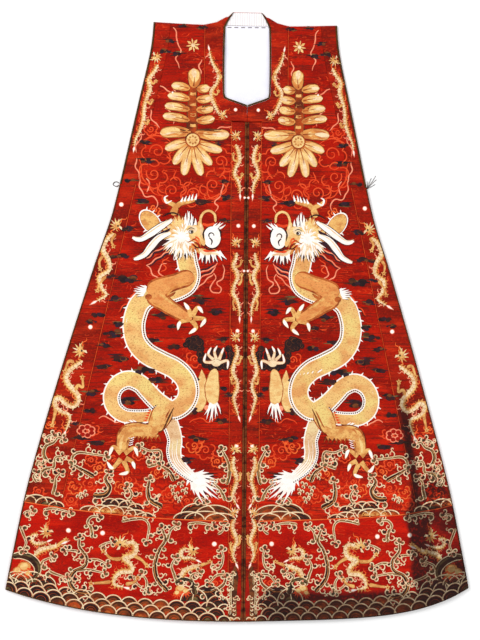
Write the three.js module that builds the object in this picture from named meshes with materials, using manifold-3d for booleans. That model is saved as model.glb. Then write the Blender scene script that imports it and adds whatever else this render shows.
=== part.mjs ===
// A long sleeveless court vest of lined silk, laid flat on its back and closed down the front.
// Millimetres, +Z up, +Y towards the collar, +X to the wearer's left. The origin is the middle of
// the surface that the vest lies on. "drop" is the distance down from the shoulder line.

import * as THREE from "three";
import { mergeVertices } from "three/addons/utils/BufferGeometryUtils.js";
import Module from "manifold-3d";

// Driving dimensions
const FRONT_LENGTH = 1312; // shoulder line to the hem at the centre front
const COLLAR_RISE = 29; // how far the back collar stands above the shoulder line
const HEM_CORNER_DROP = 1246;
const HEM_HALF = 510;
const HEM_ROUNDNESS = 2.6; // power of the hem's curve up to the corners
const UNDERARM_DROP = 353;

const CLOTH = 1.6; // face cloth and lining together
const BACK_CLOTH = 1.8;
const LINING = 0.8;
const GAP = 0.3; // between neighbouring pieces

const BINDING = 4; // width of the dark edge binding
const PIPING = 2; // width of the cord set into a seam
const PIPING_PROUD = 0.6;
const FRONT_BAND_HALF = 33; // centre front to the front band's seam
const ARMHOLE_BAND = 36; // with its binding
const OPENING_GAP = 0.6; // from the centre line to each front edge
const SIDE_SEAM_TOP = 237; // half width of the side band's seam, at the underarm
const SIDE_SEAM_SLOPE = 0.22;
const HEM_BAND_DROP = 1091; // of the hem band's seam at the centre front
const HEM_BAND_RISE = 38; // of that seam at HEM_BAND_REACH
const HEM_BAND_REACH = 471;
const HEM_BEND_START = 600; // above this drop the rows of the cloth run straight across

const SPREAD = 0.028; // share by which the right half lies wider than its pattern, the left narrower
const SHOULDER_SLOPE = 0.012; // fall of the shoulder line towards the wearer's left, as it is laid
const TIP_RISE = 5; // of the shoulder tips, as they are laid, over the even shoulder line
const TIP_HALF = 202; // half width across the shoulder tips
const LEFT_HEM_TILT = 16; // rise of the left half's hem as it is laid, a straight part
const LEFT_HEM_BEND = 64; // and a part that bends up to the corner

const LOOP_CORD = 1.6; // diameter of the button loop's cord
const LOOP_REACH = 13;
const LOOP_HALF = 5;
const KNOT = 3.4; // diameter of the tie's knot
const STRAND = 0.9; // width of one frayed thread of the tie
const OFF_GROUND = 0.1; // below a cord or thread that lies on the ground

const COLLAR_HALF_TOP = 32;
const COLLAR_HALF_BASE = 62;
const FACING_HALF_TOP = 31;
const FACING_HALF_BASE = 50;
const FACING_TOP_MARGIN = 1; // the collar's cloth shows above the facing by this much
const NECK_LINING_HALF = 70;
const NECK_LINING_DROP = 196;

const SHOULDER_Y = (FRONT_LENGTH - COLLAR_RISE) / 2;
const OPENING_X = HEM_HALF * SPREAD; // the front opening, once the outline is centred

// The side edge, from the shoulder tip down the armhole and the side seam.
const SIDE_EDGE = [
  { drop: -60, half: 200 },
  { drop: 0, half: TIP_HALF },
  { drop: 60, half: 208 },
  { drop: 165, half: 231 },
  { drop: 270, half: 254 },
  { drop: 353, half: 272 },
  { drop: 430, half: 291 },
  { drop: 535, half: 326 },
  { drop: 770, half: 397 },
  { drop: 1010, half: 463 },
  { drop: 1170, half: 496 },
  { drop: HEM_CORNER_DROP, half: HEM_HALF },
  { drop: 1330, half: 524 },
];

// The neck band, from its tip beside the collar, round the corner, to the centre front.
const NECK_BAND = [
  { inX: 30, inDrop: -28.5, outX: 35.5, outDrop: -26 },
  { inX: 36, inDrop: -19.5, outX: 49, outDrop: -17 },
  { inX: 42, inDrop: -8.5, outX: 68, outDrop: -6 },
  { inX: 48, inDrop: 4, outX: 92, outDrop: 0 },
  { inX: 49, inDrop: 40, outX: 92, outDrop: 45 },
  { inX: 49.5, inDrop: 80, outX: 92, outDrop: 95 },
  { inX: 49.5, inDrop: 120, outX: 92, outDrop: 140 },
  { inX: 49, inDrop: 150, outX: 91.5, outDrop: 180 },
  { inX: 47, inDrop: 158, outX: 87, outDrop: 199 },
  { inX: 38, inDrop: 162, outX: 66, outDrop: 208 },
  { inX: 20, inDrop: 168, outX: 33, outDrop: 211.5 },
  { inX: OPENING_GAP, inDrop: 175, outX: OPENING_GAP, outDrop: 213 },
];
const NECK_BAND_SHOULDER_ROW = 3; // from here down the band's seam joins the front

// Soft folds of the upper layer: the middle, the turn from straight down (clockwise, degrees), and
// the length, half width and height. A negative height is a trough.
const FOLDS = [
  { x: 402, drop: 1010, turn: -10.5, length: 560, width: 20, height: -6.5 },
  { x: 445, drop: 1090, turn: -12, length: 380, width: 20, height: 4 },
  { x: 345, drop: 1000, turn: -9, length: 520, width: 26, height: 4 },
  { x: 250, drop: 900, turn: -8, length: 560, width: 34, height: 3.2 },
  { x: 150, drop: 1010, turn: -4, length: 460, width: 30, height: 2.6 },
  { x: 205, drop: 470, turn: -14, length: 330, width: 28, height: 2.4 },
  { x: 110, drop: 620, turn: 2, length: 420, width: 34, height: 2 },
  { x: -395, drop: 1040, turn: 11, length: 420, width: 24, height: -3.5 },
  { x: -355, drop: 960, turn: 10, length: 520, width: 28, height: 4.2 },
  { x: -262, drop: 880, turn: 8, length: 600, width: 36, height: 3 },
  { x: -170, drop: 1020, turn: 5, length: 420, width: 28, height: 2.8 },
  { x: -90, drop: 700, turn: 0, length: 520, width: 32, height: 2.2 },
  { x: -210, drop: 450, turn: 15, length: 300, width: 26, height: 2.6 },
  { x: -150, drop: 190, turn: 82, length: 190, width: 13, height: 1.8 },
  { x: 150, drop: 205, turn: -84, length: 200, width: 13, height: 1.8 },
  { x: 215, drop: 1180, turn: -5, length: 200, width: 26, height: 2.4 },
  { x: -300, drop: 1190, turn: 7, length: 190, width: 26, height: 2.6 },
];

// The frayed tie's threads: direction from straight out (towards the collar, degrees), and length
const STRANDS = [
  { heading: 28, length: 19 },
  { heading: 44, length: 27 },
  { heading: 57, length: 33 },
  { heading: 70, length: 24 },
  { heading: 88, length: 15 },
];
const SWELL = 2.4; // how far the middle of each front rises from the back
const EDGE_FADE = 55; // the swell and the folds die out over this width, towards a closed edge

const colours = {
  silk: { color: 0x9c1208, roughness: 0.72, metalness: 0 },
  band: { color: 0xa81a0c, roughness: 0.72, metalness: 0 },
  lining: { color: 0xdfe0e8, roughness: 0.75, metalness: 0 },
  binding: { color: 0x3b2a18, roughness: 0.6, metalness: 0 },
  piping: { color: 0xc8431c, roughness: 0.55, metalness: 0 },
  thread: { color: 0x4a2c20, roughness: 0.8, metalness: 0 },
};

const clamp = (value, low, high) => Math.min(high, Math.max(low, value));
const lerp = (a, b, t) => a + (b - a) * t;
const smooth = (t) => clamp(t, 0, 1) ** 2 * (3 - 2 * clamp(t, 0, 1));
const span = (from, to, steps) =>
  Array.from({ length: steps + 1 }, (_, i) => lerp(from, to, i / steps));

// A smooth curve through a table's rows, as a function of its drop.
function curveThrough(table, column) {
  const slope = (i) => {
    const a = table[Math.max(i - 1, 0)];
    const b = table[Math.min(i + 1, table.length - 1)];
    return (b[column] - a[column]) / (b.drop - a.drop);
  };
  return (drop) => {
    let i = 0;
    while (i < table.length - 2 && drop > table[i + 1].drop) i += 1;
    const width = table[i + 1].drop - table[i].drop;
    const t = (drop - table[i].drop) / width;
    return (
      table[i][column] * (1 + 2 * t) * (1 - t) ** 2 +
      slope(i) * width * t * (1 - t) ** 2 +
      table[i + 1][column] * t * t * (3 - 2 * t) -
      slope(i + 1) * width * t * t * (1 - t)
    );
  };
}

// Plan lines of one half, at x above 0
const sideEdge = curveThrough(SIDE_EDGE, "half");
const sideSeam = (drop) => SIDE_SEAM_TOP + SIDE_SEAM_SLOPE * (drop - UNDERARM_DROP);
const hem = (x) =>
  FRONT_LENGTH - (FRONT_LENGTH - HEM_CORNER_DROP) * (Math.abs(x) / HEM_HALF) ** HEM_ROUNDNESS;
const hemBandSeam = (x) => HEM_BAND_DROP - HEM_BAND_RISE * (x / HEM_BAND_REACH) ** 2;

// How far the left half's hem lies above its pattern
function hemLift(x) {
  const reach = Math.max(x, 0) / HEM_HALF;
  const pattern = (FRONT_LENGTH - HEM_CORNER_DROP) * reach ** HEM_ROUNDNESS;
  return LEFT_HEM_TILT * reach + LEFT_HEM_BEND * reach ** 5 - pattern;
}

// Where a point of the even pattern lies on the ground
function laid(x, drop) {
  const down = drop / FRONT_LENGTH;
  const slope = SHOULDER_SLOPE * (1 - down) * x;
  const tip = TIP_RISE * (x / TIP_HALF) ** 2 * clamp(1 - drop / UNDERARM_DROP, 0, 1) ** 2;
  const y = SHOULDER_Y - drop - slope + tip + hemLift(x) * down ** 2;
  return [OPENING_X + x * (1 - SPREAD * Math.sign(x)), y];
}

// How far the upper layer's folds lift it, before they die out at the edges
function foldLift(x, drop) {
  let lift = SWELL + 0.5 * Math.sin(x / 47 + drop / 130) + 0.4 * Math.sin(drop / 61 - x / 90);
  for (const fold of FOLDS) {
    const turn = THREE.MathUtils.degToRad(fold.turn);
    const dx = x - fold.x;
    const dd = drop - fold.drop;
    const along = dd * Math.cos(turn) - dx * Math.sin(turn);
    const across = dx * Math.cos(turn) + dd * Math.sin(turn);
    const reach = smooth(2 - Math.abs(along) / (fold.length / 4));
    lift += fold.height * reach * Math.exp(-((across / fold.width) ** 2));
  }
  return (lift + Math.hypot(lift, 1)) / 2;
}

// The upper layer's underside: it lies on the back, or on the lining at the neck.
function underside(x, drop) {
  const toSide = sideEdge(drop) - Math.abs(x);
  const fade = smooth(toSide / EDGE_FADE) * smooth((drop + 10) / EDGE_FADE);
  const pastX = Math.max(Math.abs(x) - NECK_LINING_HALF, 0);
  const pastDrop = Math.max(drop - NECK_LINING_DROP, 0);
  const overLining = 1 - smooth((Math.hypot(pastX, pastDrop) - 20) / 60);
  return BACK_CLOTH + GAP + (LINING + GAP) * overLining + foldLift(x, drop) * fade;
}

const clothTop = (x, drop) => underside(x, drop) + CLOTH;

// A closed wall over a grid of plan points. A row runs towards +X and the rows run down the vest.
function wall(rows, bottomOf, topOf) {
  const columns = rows[0].length;
  const positions = [];
  for (const heightOf of [topOf, bottomOf]) {
    for (const row of rows) {
      row.forEach(({ x, drop }, j) => {
        positions.push(...laid(x, drop), heightOf(x, drop, j / (columns - 1)));
      });
    }
  }
  const top = (i, j) => i * columns + j;
  const bottom = (i, j) => rows.length * columns + i * columns + j;
  const index = [];
  const quad = (a, b, c, d) => index.push(a, b, c, a, c, d);
  for (let i = 0; i < rows.length - 1; i += 1) {
    for (let j = 0; j < columns - 1; j += 1) {
      quad(top(i, j), top(i + 1, j), top(i + 1, j + 1), top(i, j + 1));
      quad(bottom(i, j), bottom(i, j + 1), bottom(i + 1, j + 1), bottom(i + 1, j));
    }
    quad(top(i, 0), bottom(i, 0), bottom(i + 1, 0), top(i + 1, 0));
    const last = columns - 1;
    quad(top(i + 1, last), bottom(i + 1, last), bottom(i, last), top(i, last));
  }
  for (let j = 0; j < columns - 1; j += 1) {
    quad(top(0, j + 1), bottom(0, j + 1), bottom(0, j), top(0, j));
    const end = rows.length - 1;
    quad(top(end, j), bottom(end, j), bottom(end, j + 1), top(end, j + 1));
  }
  const geometry = new THREE.BufferGeometry();
  geometry.setAttribute("position", new THREE.Float32BufferAttribute(positions, 3));
  geometry.setIndex(index);
  geometry.computeVertexNormals();
  return geometry;
}

// Rows of points between two side lines; lineOf bends a row's nominal drop to its own curve.
function rowsBetween(drops, columns, inner, outer, lineOf = (drop) => drop) {
  return drops.map((nominal) =>
    span(0, 1, columns).map((share) => {
      let point = { x: lerp(inner(nominal), outer(nominal), share), drop: nominal };
      for (let pass = 0; pass < 6; pass += 1) {
        const drop = lineOf(nominal, point.x);
        point = { x: lerp(inner(drop), outer(drop), share), drop };
      }
      return point;
    }),
  );
}

// Rows along a path, for a narrow strip: its two edges, and a middle line where it is crowned
const stripRows = (edges) =>
  edges.map(([a, b]) => [
    a,
    { x: (a.x + b.x) / 2, drop: (a.drop + b.drop) / 2 },
    b,
  ]);

// The same rows on the other half of the vest
const mirrored = (rows) => rows.map((row) => row.map(({ x, drop }) => ({ x: -x, drop })).reverse());

const vest = new THREE.Group();

function addPiece(name, geometry, finish) {
  const mesh = new THREE.Mesh(geometry, new THREE.MeshStandardMaterial(finish));
  mesh.name = name;
  vest.add(mesh);
}

// A piece of the upper layer on each half of the vest
function addPair(name, rows, finish, topOf = clothTop) {
  addPiece(`${name}_left`, wall(rows, underside, topOf), finish);
  addPiece(`${name}_right`, wall(mirrored(rows), underside, topOf), finish);
}

const pipingTop = (x, drop, share) => clothTop(x, drop) + (share === 0.5 ? PIPING_PROUD : 0);

// Seam lines leave room for the piping and a gap on each side of it.
const SEAM_ROOM = PIPING / 2 + GAP;

// Each front bends its lowest rows from straight across to the hem band's curve.
const bendToHem = (nominal, x) => {
  const share = smooth((nominal - HEM_BEND_START) / (HEM_BAND_DROP - HEM_BEND_START));
  return nominal - HEM_BAND_RISE * (x / HEM_BAND_REACH) ** 2 * share;
};

// The neck band's seam, as the front sees it: a half width for each drop
const neckSeamRows = NECK_BAND.slice(NECK_BAND_SHOULDER_ROW).map(({ outX, outDrop }) => ({
  x: outX,
  drop: outDrop,
}));

function frontInner(drop) {
  const edge = FRONT_BAND_HALF + SEAM_ROOM;
  const shifted = drop - SEAM_ROOM;
  for (let i = 0; i < neckSeamRows.length - 1; i += 1) {
    const [a, b] = [neckSeamRows[i], neckSeamRows[i + 1]];
    if (shifted <= b.drop) {
      const x = lerp(a.x, b.x, clamp((shifted - a.drop) / (b.drop - a.drop), 0, 1));
      return Math.max(edge, x + SEAM_ROOM);
    }
  }
  return edge;
}

const frontOuter = (drop) =>
  drop < UNDERARM_DROP ? sideEdge(drop) - ARMHOLE_BAND - GAP : sideSeam(drop) - SEAM_ROOM;

function addFronts() {
  const drops = [
    ...span(1, 181.3, 8),
    200.3,
    209.3,
    214,
    ...span(238, UNDERARM_DROP - 1, 5),
    ...span(UNDERARM_DROP + 1, HEM_BAND_DROP - SEAM_ROOM, 28),
  ];
  addPair("front", rowsBetween(drops, 10, frontInner, frontOuter, bendToHem), colours.silk);
}

function addArmholeBands() {
  const drops = span(1, UNDERARM_DROP - GAP, 15);
  const inner = (drop) => sideEdge(drop) - ARMHOLE_BAND;
  const seam = (drop) => sideEdge(drop) - BINDING;
  addPair("armhole_band", rowsBetween(drops, 2, inner, (d) => seam(d) - GAP), colours.band);
  addPair("armhole_binding", rowsBetween(drops, 2, seam, sideEdge), colours.binding, pipingTop);
}

function addSideBands() {
  const drops = span(UNDERARM_DROP + GAP, HEM_BAND_DROP - SEAM_ROOM, 28);
  const inner = (drop) => sideSeam(drop) + SEAM_ROOM;
  addPair("side_band", rowsBetween(drops, 3, inner, sideEdge, bendToHem), colours.band);
  const start = (drop) => sideSeam(drop) - PIPING / 2;
  const end = (drop) => sideSeam(drop) + PIPING / 2;
  addPair("side_piping", rowsBetween(drops, 2, start, end, bendToHem), colours.piping, pipingTop);
}

function addHemBands() {
  const steps = 7;
  const line = (share, x) => lerp(hemBandSeam(x) + SEAM_ROOM, hem(x), share);
  const inner = FRONT_BAND_HALF + SEAM_ROOM;
  const rows = span(0, 1, steps).map((share) =>
    span(0, 1, 17).map((across) => {
      let drop = lerp(HEM_BAND_DROP, FRONT_LENGTH, share);
      let x = 0;
      for (let pass = 0; pass < 8; pass += 1) {
        x = lerp(inner, sideEdge(drop), across);
        drop = line(share, x);
      }
      return { x, drop };
    }),
  );
  addPair("hem_band", rows, colours.band);
  const seamEnd = sideEdge(hemBandSeam(HEM_BAND_REACH));
  const edges = span(inner, seamEnd, 17).map((x) => [
    { x, drop: hemBandSeam(x) + PIPING / 2 },
    { x, drop: hemBandSeam(x) - PIPING / 2 },
  ]);
  // The path runs towards +X, so its rows are turned to run down the vest.
  const rowsDown = stripRows(edges);
  const turned = [2, 1, 0].map((j) => rowsDown.map((row) => row[j]));
  const crowned = (x, drop) => {
    const offset = Math.abs(drop - hemBandSeam(x)) / (PIPING / 2);
    return clothTop(x, drop) + PIPING_PROUD * (1 - smooth(offset));
  };
  addPair("hem_piping", turned, colours.piping, crowned);
}

function addFrontBands() {
  const top = NECK_BAND.at(-1).outDrop + GAP;
  const lineOf = (nominal, x) =>
    lerp(top, hem(x), (nominal - top) / (FRONT_LENGTH - top));
  const drops = span(top, FRONT_LENGTH, 30);
  const edge = OPENING_GAP;
  const strip = (name, from, to, finish, topOf) =>
    addPair(name, rowsBetween(drops, 2, () => from, () => to, lineOf), finish, topOf);
  strip("front_binding", edge, edge + BINDING, colours.binding, pipingTop);
  strip("front_band", edge + BINDING + GAP, FRONT_BAND_HALF - SEAM_ROOM, colours.band);
  strip(
    "front_piping",
    FRONT_BAND_HALF - PIPING / 2,
    FRONT_BAND_HALF + PIPING / 2,
    colours.piping,
    pipingTop,
  );
}

// Points across the neck band, at distances in from its two edges
function neckRows(fromInner, fromOuter, columns, first = 0) {
  return NECK_BAND.slice(first).map(({ inX, inDrop, outX, outDrop }) => {
    const width = Math.hypot(outX - inX, outDrop - inDrop);
    const start = fromInner(width) / width;
    const end = fromOuter(width) / width;
    return span(start, end, columns).map((share) => ({
      x: Math.max(lerp(inX, outX, share), OPENING_GAP),
      drop: lerp(inDrop, outDrop, share),
    }));
  });
}

function addNeckBands() {
  const band = neckRows(
    () => BINDING + GAP,
    (width) => width - SEAM_ROOM,
    3,
    1,
  );
  addPair("neck_band", band, colours.band);
  const binding = neckRows(() => 0, () => BINDING, 2, 0);
  addPair("neck_binding", binding, colours.binding, pipingTop);
  const piping = neckRows(
    (width) => width - PIPING / 2,
    (width) => width + PIPING / 2,
    2,
    NECK_BAND_SHOULDER_ROW,
  );
  piping.pop(); // it ends where the front band's piping begins
  addPair("neck_piping", piping, colours.piping, pipingTop);
}

function addBack() {
  const side = [...span(GAP, UNDERARM_DROP, 9), ...span(UNDERARM_DROP + 40, 1200, 15)];
  const half = [
    ...span(0, sideEdge(GAP), 9).slice(0, -1).map((x) => ({ x, drop: GAP })),
    ...side.map((drop) => ({ x: sideEdge(drop), drop })),
    ...span(HEM_HALF, 0, 14).map((x) => ({ x, drop: hem(x) })),
  ];
  const other = half.slice(1, -1).map(({ x, drop }) => ({ x: -x, drop }));
  const outline = [...half, ...other.reverse()].map(
    ({ x, drop }) => new THREE.Vector2(...laid(x, drop)),
  );
  const plate = new THREE.ExtrudeGeometry(new THREE.Shape(outline), {
    depth: BACK_CLOTH,
    bevelEnabled: false,
  });
  addPiece("back", plate, colours.silk);
  const ground = () => 0;
  const top = () => BACK_CLOTH;

  const lining = [LINING, NECK_LINING_DROP].map((drop) =>
    span(-NECK_LINING_HALF, NECK_LINING_HALF, 4).map((x) => ({ x, drop })),
  );
  const liningBottom = () => BACK_CLOTH + GAP;
  const liningTop = () => BACK_CLOTH + GAP + LINING;
  addPiece("back_lining", wall(lining, liningBottom, liningTop), colours.lining);

  // The back collar lies flat beyond the shoulder line with its inside up.
  const collarRows = (halfTop, halfBase, topDrop) =>
    span(topDrop, 0, 3).map((drop) => {
      const half = lerp(halfTop, halfBase, (drop - topDrop) / -topDrop);
      return span(-half, half, 6).map((x) => ({ x, drop }));
    });
  const collar = collarRows(COLLAR_HALF_TOP, COLLAR_HALF_BASE, -COLLAR_RISE);
  addPiece("collar", wall(collar, ground, top), colours.band);
  const facingTop = FACING_TOP_MARGIN - COLLAR_RISE;
  const facing = collarRows(FACING_HALF_TOP, FACING_HALF_BASE, facingTop);
  addPiece("collar_facing", wall(facing, liningBottom, liningTop), colours.lining);
}

// A round cord along a line of points; each point is [x, y, z].
function cordGeometry(points, diameter, sides, steps) {
  const section = new THREE.Shape(
    span(0, 2 * Math.PI, sides)
      .slice(1)
      .map((turn) => new THREE.Vector2(Math.cos(turn), Math.sin(turn)).multiplyScalar(diameter / 2)),
  );
  const path = new THREE.CatmullRomCurve3(points.map((point) => new THREE.Vector3(...point)));
  return new THREE.ExtrudeGeometry(section, { steps, extrudePath: path, bevelEnabled: false });
}

// The button loop at the right underarm: sewn in at both ends, and lying on the ground
function addLoop() {
  const [edge, y] = laid(-sideEdge(UNDERARM_DROP), UNDERARM_DROP);
  const root = edge - GAP - LOOP_CORD;
  const high = BACK_CLOTH;
  const low = LOOP_CORD / 2 + OFF_GROUND;
  const points = [
    [root, y - LOOP_HALF / 2, high],
    [root - LOOP_REACH / 3, y - LOOP_HALF, low],
    [root - LOOP_REACH * 0.75, y - LOOP_HALF * 0.8, low],
    [root - LOOP_REACH, y, low],
    [root - LOOP_REACH * 0.75, y + LOOP_HALF * 0.8, low],
    [root - LOOP_REACH / 3, y + LOOP_HALF, low],
    [root, y + LOOP_HALF / 2, high],
  ];
  addPiece("underarm_loop", cordGeometry(points, LOOP_CORD, 8, 20), colours.thread);
}

const wasm = await Module();
wasm.setup();

// A closed geometry as a solid that can be joined to another
function solidOf(geometry) {
  const bare = geometry.clone();
  bare.deleteAttribute("normal");
  bare.deleteAttribute("uv");
  const merged = mergeVertices(bare, 1e-4);
  return new wasm.Manifold(
    new wasm.Mesh({
      numProp: 3,
      vertProperties: merged.attributes.position.array,
      triVerts: new Uint32Array(merged.index.array),
    }),
  );
}

// What is left of the tie at the left underarm: a knot with frayed threads
function addTie() {
  const [edge, y] = laid(sideEdge(UNDERARM_DROP), UNDERARM_DROP);
  const x = edge + GAP + KNOT / 2;
  const knotHeight = KNOT / 2 + OFF_GROUND;
  const low = STRAND / 2 + OFF_GROUND;
  const knot = new THREE.SphereGeometry(KNOT / 2, 10, 8).translate(x, y, knotHeight);
  let tie = solidOf(knot);
  STRANDS.forEach(({ heading, length }, i) => {
    const turn = THREE.MathUtils.degToRad(heading);
    const at = (share, z) => [
      x + Math.cos(turn) * length * share,
      y + Math.sin(turn) * length * share + (i % 2 ? 1 : -1) * Math.sin(3 * share),
      z,
    ];
    const points = [at(0, knotHeight), at(0.25, low + 0.9), at(0.6, low), at(1, low)];
    tie = tie.add(solidOf(cordGeometry(points, STRAND, 4, 7)));
  });
  const { vertProperties, triVerts } = tie.getMesh();
  const geometry = new THREE.BufferGeometry();
  geometry.setAttribute("position", new THREE.BufferAttribute(vertProperties, 3));
  geometry.setIndex(new THREE.BufferAttribute(triVerts, 1));
  geometry.computeVertexNormals();
  addPiece("underarm_tie", geometry, colours.thread);
}

addLoop();
addTie();
addFronts();
addArmholeBands();
addSideBands();
addHemBands();
addFrontBands();
addNeckBands();
addBack();

export default vest;
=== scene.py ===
"""The looks of a long sleeveless court vest of lined silk tapestry, laid flat on its back.

Plan sizes are in millimetres: x is across, to the wearer's left, and drop is the distance down
from the shoulder line. They become metres when a mesh is made. A woven figure is drawn on one
half, as (out, drop) with out measured from the closed front, and repeated on the other half.
"""

import math

import bpy
import numpy as np
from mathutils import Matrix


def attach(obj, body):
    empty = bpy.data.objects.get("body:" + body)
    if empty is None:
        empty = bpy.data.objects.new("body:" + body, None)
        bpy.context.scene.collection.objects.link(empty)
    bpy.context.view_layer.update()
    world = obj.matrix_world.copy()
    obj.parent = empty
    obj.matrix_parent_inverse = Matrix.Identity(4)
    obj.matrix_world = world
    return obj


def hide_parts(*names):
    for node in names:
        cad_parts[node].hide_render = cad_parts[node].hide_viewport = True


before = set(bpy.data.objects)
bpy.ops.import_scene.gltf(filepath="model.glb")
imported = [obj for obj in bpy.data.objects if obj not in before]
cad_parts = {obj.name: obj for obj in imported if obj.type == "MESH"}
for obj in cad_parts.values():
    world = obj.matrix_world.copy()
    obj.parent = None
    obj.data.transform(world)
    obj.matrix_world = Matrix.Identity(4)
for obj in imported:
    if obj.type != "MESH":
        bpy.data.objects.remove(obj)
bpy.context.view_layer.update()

MM = 0.001
BODY = "root"

# The vest's cut, as its solids have it
FRONT_LENGTH = 1312.0
COLLAR_RISE = 29.0
SHOULDER_Y = (FRONT_LENGTH - COLLAR_RISE) / 2
HEM_CORNER_DROP = 1246.0
HEM_HALF = 510.0
HEM_ROUNDNESS = 2.6
UNDERARM_DROP = 353.0
CLOTH = 1.6
PANEL_WALL = 1.5
TRIM_WALL = 1.2
BACK_CLOTH = 1.8
LINING = 0.8
GAP = 0.3
BINDING = 4.0
PIPING = 2.0
FRONT_BAND_HALF = 33.0
ARMHOLE_BAND = 36.0
OPENING_GAP = 0.6
SIDE_SEAM_TOP = 237.0
SIDE_SEAM_SLOPE = 0.22
HEM_BAND_DROP = 1091.0
HEM_BAND_RISE = 38.0
HEM_BAND_REACH = 471.0
HEM_BEND_START = 600.0
SPREAD = 0.028
SHOULDER_SLOPE = 0.012
TIP_RISE = 5.0
TIP_HALF = 202.0
LEFT_HEM_TILT = 16.0
LEFT_HEM_BEND = 64.0
OPENING_X = HEM_HALF * SPREAD
COLLAR_HALF_TOP = 32.0
COLLAR_HALF_BASE = 62.0
FACING_HALF_TOP = 31.0
FACING_HALF_BASE = 50.0
NECK_LINING_HALF = 70.0
NECK_LINING_DROP = 196.0
NECK_BAND_FOOT = 213.0
SEAM_ROOM = PIPING / 2 + GAP
SWELL = 2.4
EDGE_FADE = 55.0

# (drop, half width) of the side edge
SIDE_EDGE = [
    (-60, 200), (0, TIP_HALF), (60, 208), (165, 231), (270, 254), (353, 272), (430, 291),
    (535, 326), (770, 397), (1010, 463), (1170, 496), (1246, 510), (1330, 524),
]
# (inner x, inner drop, outer x, outer drop) down and round the neck band
NECK_BAND = [
    (30, -28.5, 35.5, -26), (36, -19.5, 49, -17), (42, -8.5, 68, -6), (48, 4, 92, 0),
    (49, 40, 92, 45), (49.5, 80, 92, 95), (49.5, 120, 92, 140), (49, 150, 91.5, 180),
    (47, 158, 87, 199), (38, 162, 66, 208), (20, 168, 33, 211.5), (0.6, 175, 0.6, 213),
]
NECK_BAND_SHOULDER_ROW = 3
# (x, drop, turn from straight down in degrees, length, half width, height) of each soft fold
FOLDS = [
    (402, 1010, -10.5, 560, 20, -6.5), (445, 1090, -12, 380, 20, 4), (345, 1000, -9, 520, 26, 4),
    (250, 900, -8, 560, 34, 3.2), (150, 1010, -4, 460, 30, 2.6), (205, 470, -14, 330, 28, 2.4),
    (110, 620, 2, 420, 34, 2), (-395, 1040, 11, 420, 24, -3.5), (-355, 960, 10, 520, 28, 4.2),
    (-262, 880, 8, 600, 36, 3), (-170, 1020, 5, 420, 28, 2.8), (-90, 700, 0, 520, 32, 2.2),
    (-210, 450, 15, 300, 26, 2.6), (-150, 190, 82, 190, 13, 1.8), (150, 205, -84, 200, 13, 1.8),
    (215, 1180, -5, 200, 26, 2.4), (-300, 1190, 7, 190, 26, 2.6),
]
# The same columns, for the narrow creases that are pressed into the silk
CREASES = [
    (-92, 178, 88, 130, 2.6, -1.1), (-100, 205, 91, 150, 2.4, -1.0), (-112, 232, 87, 190, 2.8, -1.3),
    (96, 181, 90, 130, 2.6, -1.1), (108, 207, 88, 150, 2.4, -0.9), (118, 236, 92, 180, 2.8, -1.2),
    (150, 762, 80, 90, 3, -0.9), (-60, 560, 86, 80, 3, -0.7), (-250, 640, 20, 160, 4, -0.8),
    (236, 590, -24, 170, 4, -0.9), (-180, 900, 12, 150, 3.5, -0.8), (300, 840, -16, 190, 4, -1.0),
    (-330, 1140, 14, 130, 4, -0.9), (128, 1150, -6, 120, 4, -0.8), (-128, 410, 72, 110, 3, -0.7),
    (420, 1160, -40, 110, 5, -1.2), (455, 1190, -15, 120, 5, -1.2), (384, 900, -14, 220, 4, -1.1),
]


def smooth(t):
    t = np.clip(t, 0.0, 1.0)
    return t * t * (3 - 2 * t)


def curve_through(rows):
    """A smooth curve through (drop, value) rows, as a function of the drop."""
    at, value = np.array(rows, float).T
    before = np.maximum(np.arange(len(at)) - 1, 0)
    after = np.minimum(np.arange(len(at)) + 1, len(at) - 1)
    slope = (value[after] - value[before]) / (at[after] - at[before])

    def read(drop):
        i = np.clip(np.searchsorted(at, drop) - 1, 0, len(at) - 2)
        width = at[i + 1] - at[i]
        t = (drop - at[i]) / width
        return (
            value[i] * (1 + 2 * t) * (1 - t) ** 2
            + slope[i] * width * t * (1 - t) ** 2
            + value[i + 1] * t * t * (3 - 2 * t)
            - slope[i + 1] * width * t * t * (1 - t)
        )

    return read


side_edge = curve_through(SIDE_EDGE)


def side_seam(drop):
    return SIDE_SEAM_TOP + SIDE_SEAM_SLOPE * (drop - UNDERARM_DROP)


def hem(x):
    return FRONT_LENGTH - (FRONT_LENGTH - HEM_CORNER_DROP) * (np.abs(x) / HEM_HALF) ** HEM_ROUNDNESS


def hem_band_seam(x):
    return HEM_BAND_DROP - HEM_BAND_RISE * (x / HEM_BAND_REACH) ** 2


def hem_lift(x):
    """How far the left half's hem lies above its pattern."""
    reach = np.maximum(x, 0) / HEM_HALF
    pattern = (FRONT_LENGTH - HEM_CORNER_DROP) * reach**HEM_ROUNDNESS
    return LEFT_HEM_TILT * reach + LEFT_HEM_BEND * reach**5 - pattern


def laid(x, drop):
    """Where a point of the even pattern lies on the ground."""
    down = drop / FRONT_LENGTH
    slope = SHOULDER_SLOPE * (1 - down) * x
    tip = TIP_RISE * (x / TIP_HALF) ** 2 * np.clip(1 - drop / UNDERARM_DROP, 0, 1) ** 2
    y = SHOULDER_Y - drop - slope + tip + hem_lift(x) * down**2
    return OPENING_X + x * (1 - SPREAD * np.sign(x)), y


def raised(x, drop, folds):
    """The height that a table of folds adds at each point."""
    lift = np.zeros(np.broadcast(x, drop).shape)
    for fold_x, fold_drop, turn, length, width, height in folds:
        cosine, sine = math.cos(math.radians(turn)), math.sin(math.radians(turn))
        dx, dd = x - fold_x, drop - fold_drop
        along, across = dd * cosine - dx * sine, dx * cosine + dd * sine
        reach = smooth(2 - np.abs(along) / (length / 4))
        lift += height * reach * np.exp(-((across / width) ** 2))
    return lift


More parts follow.
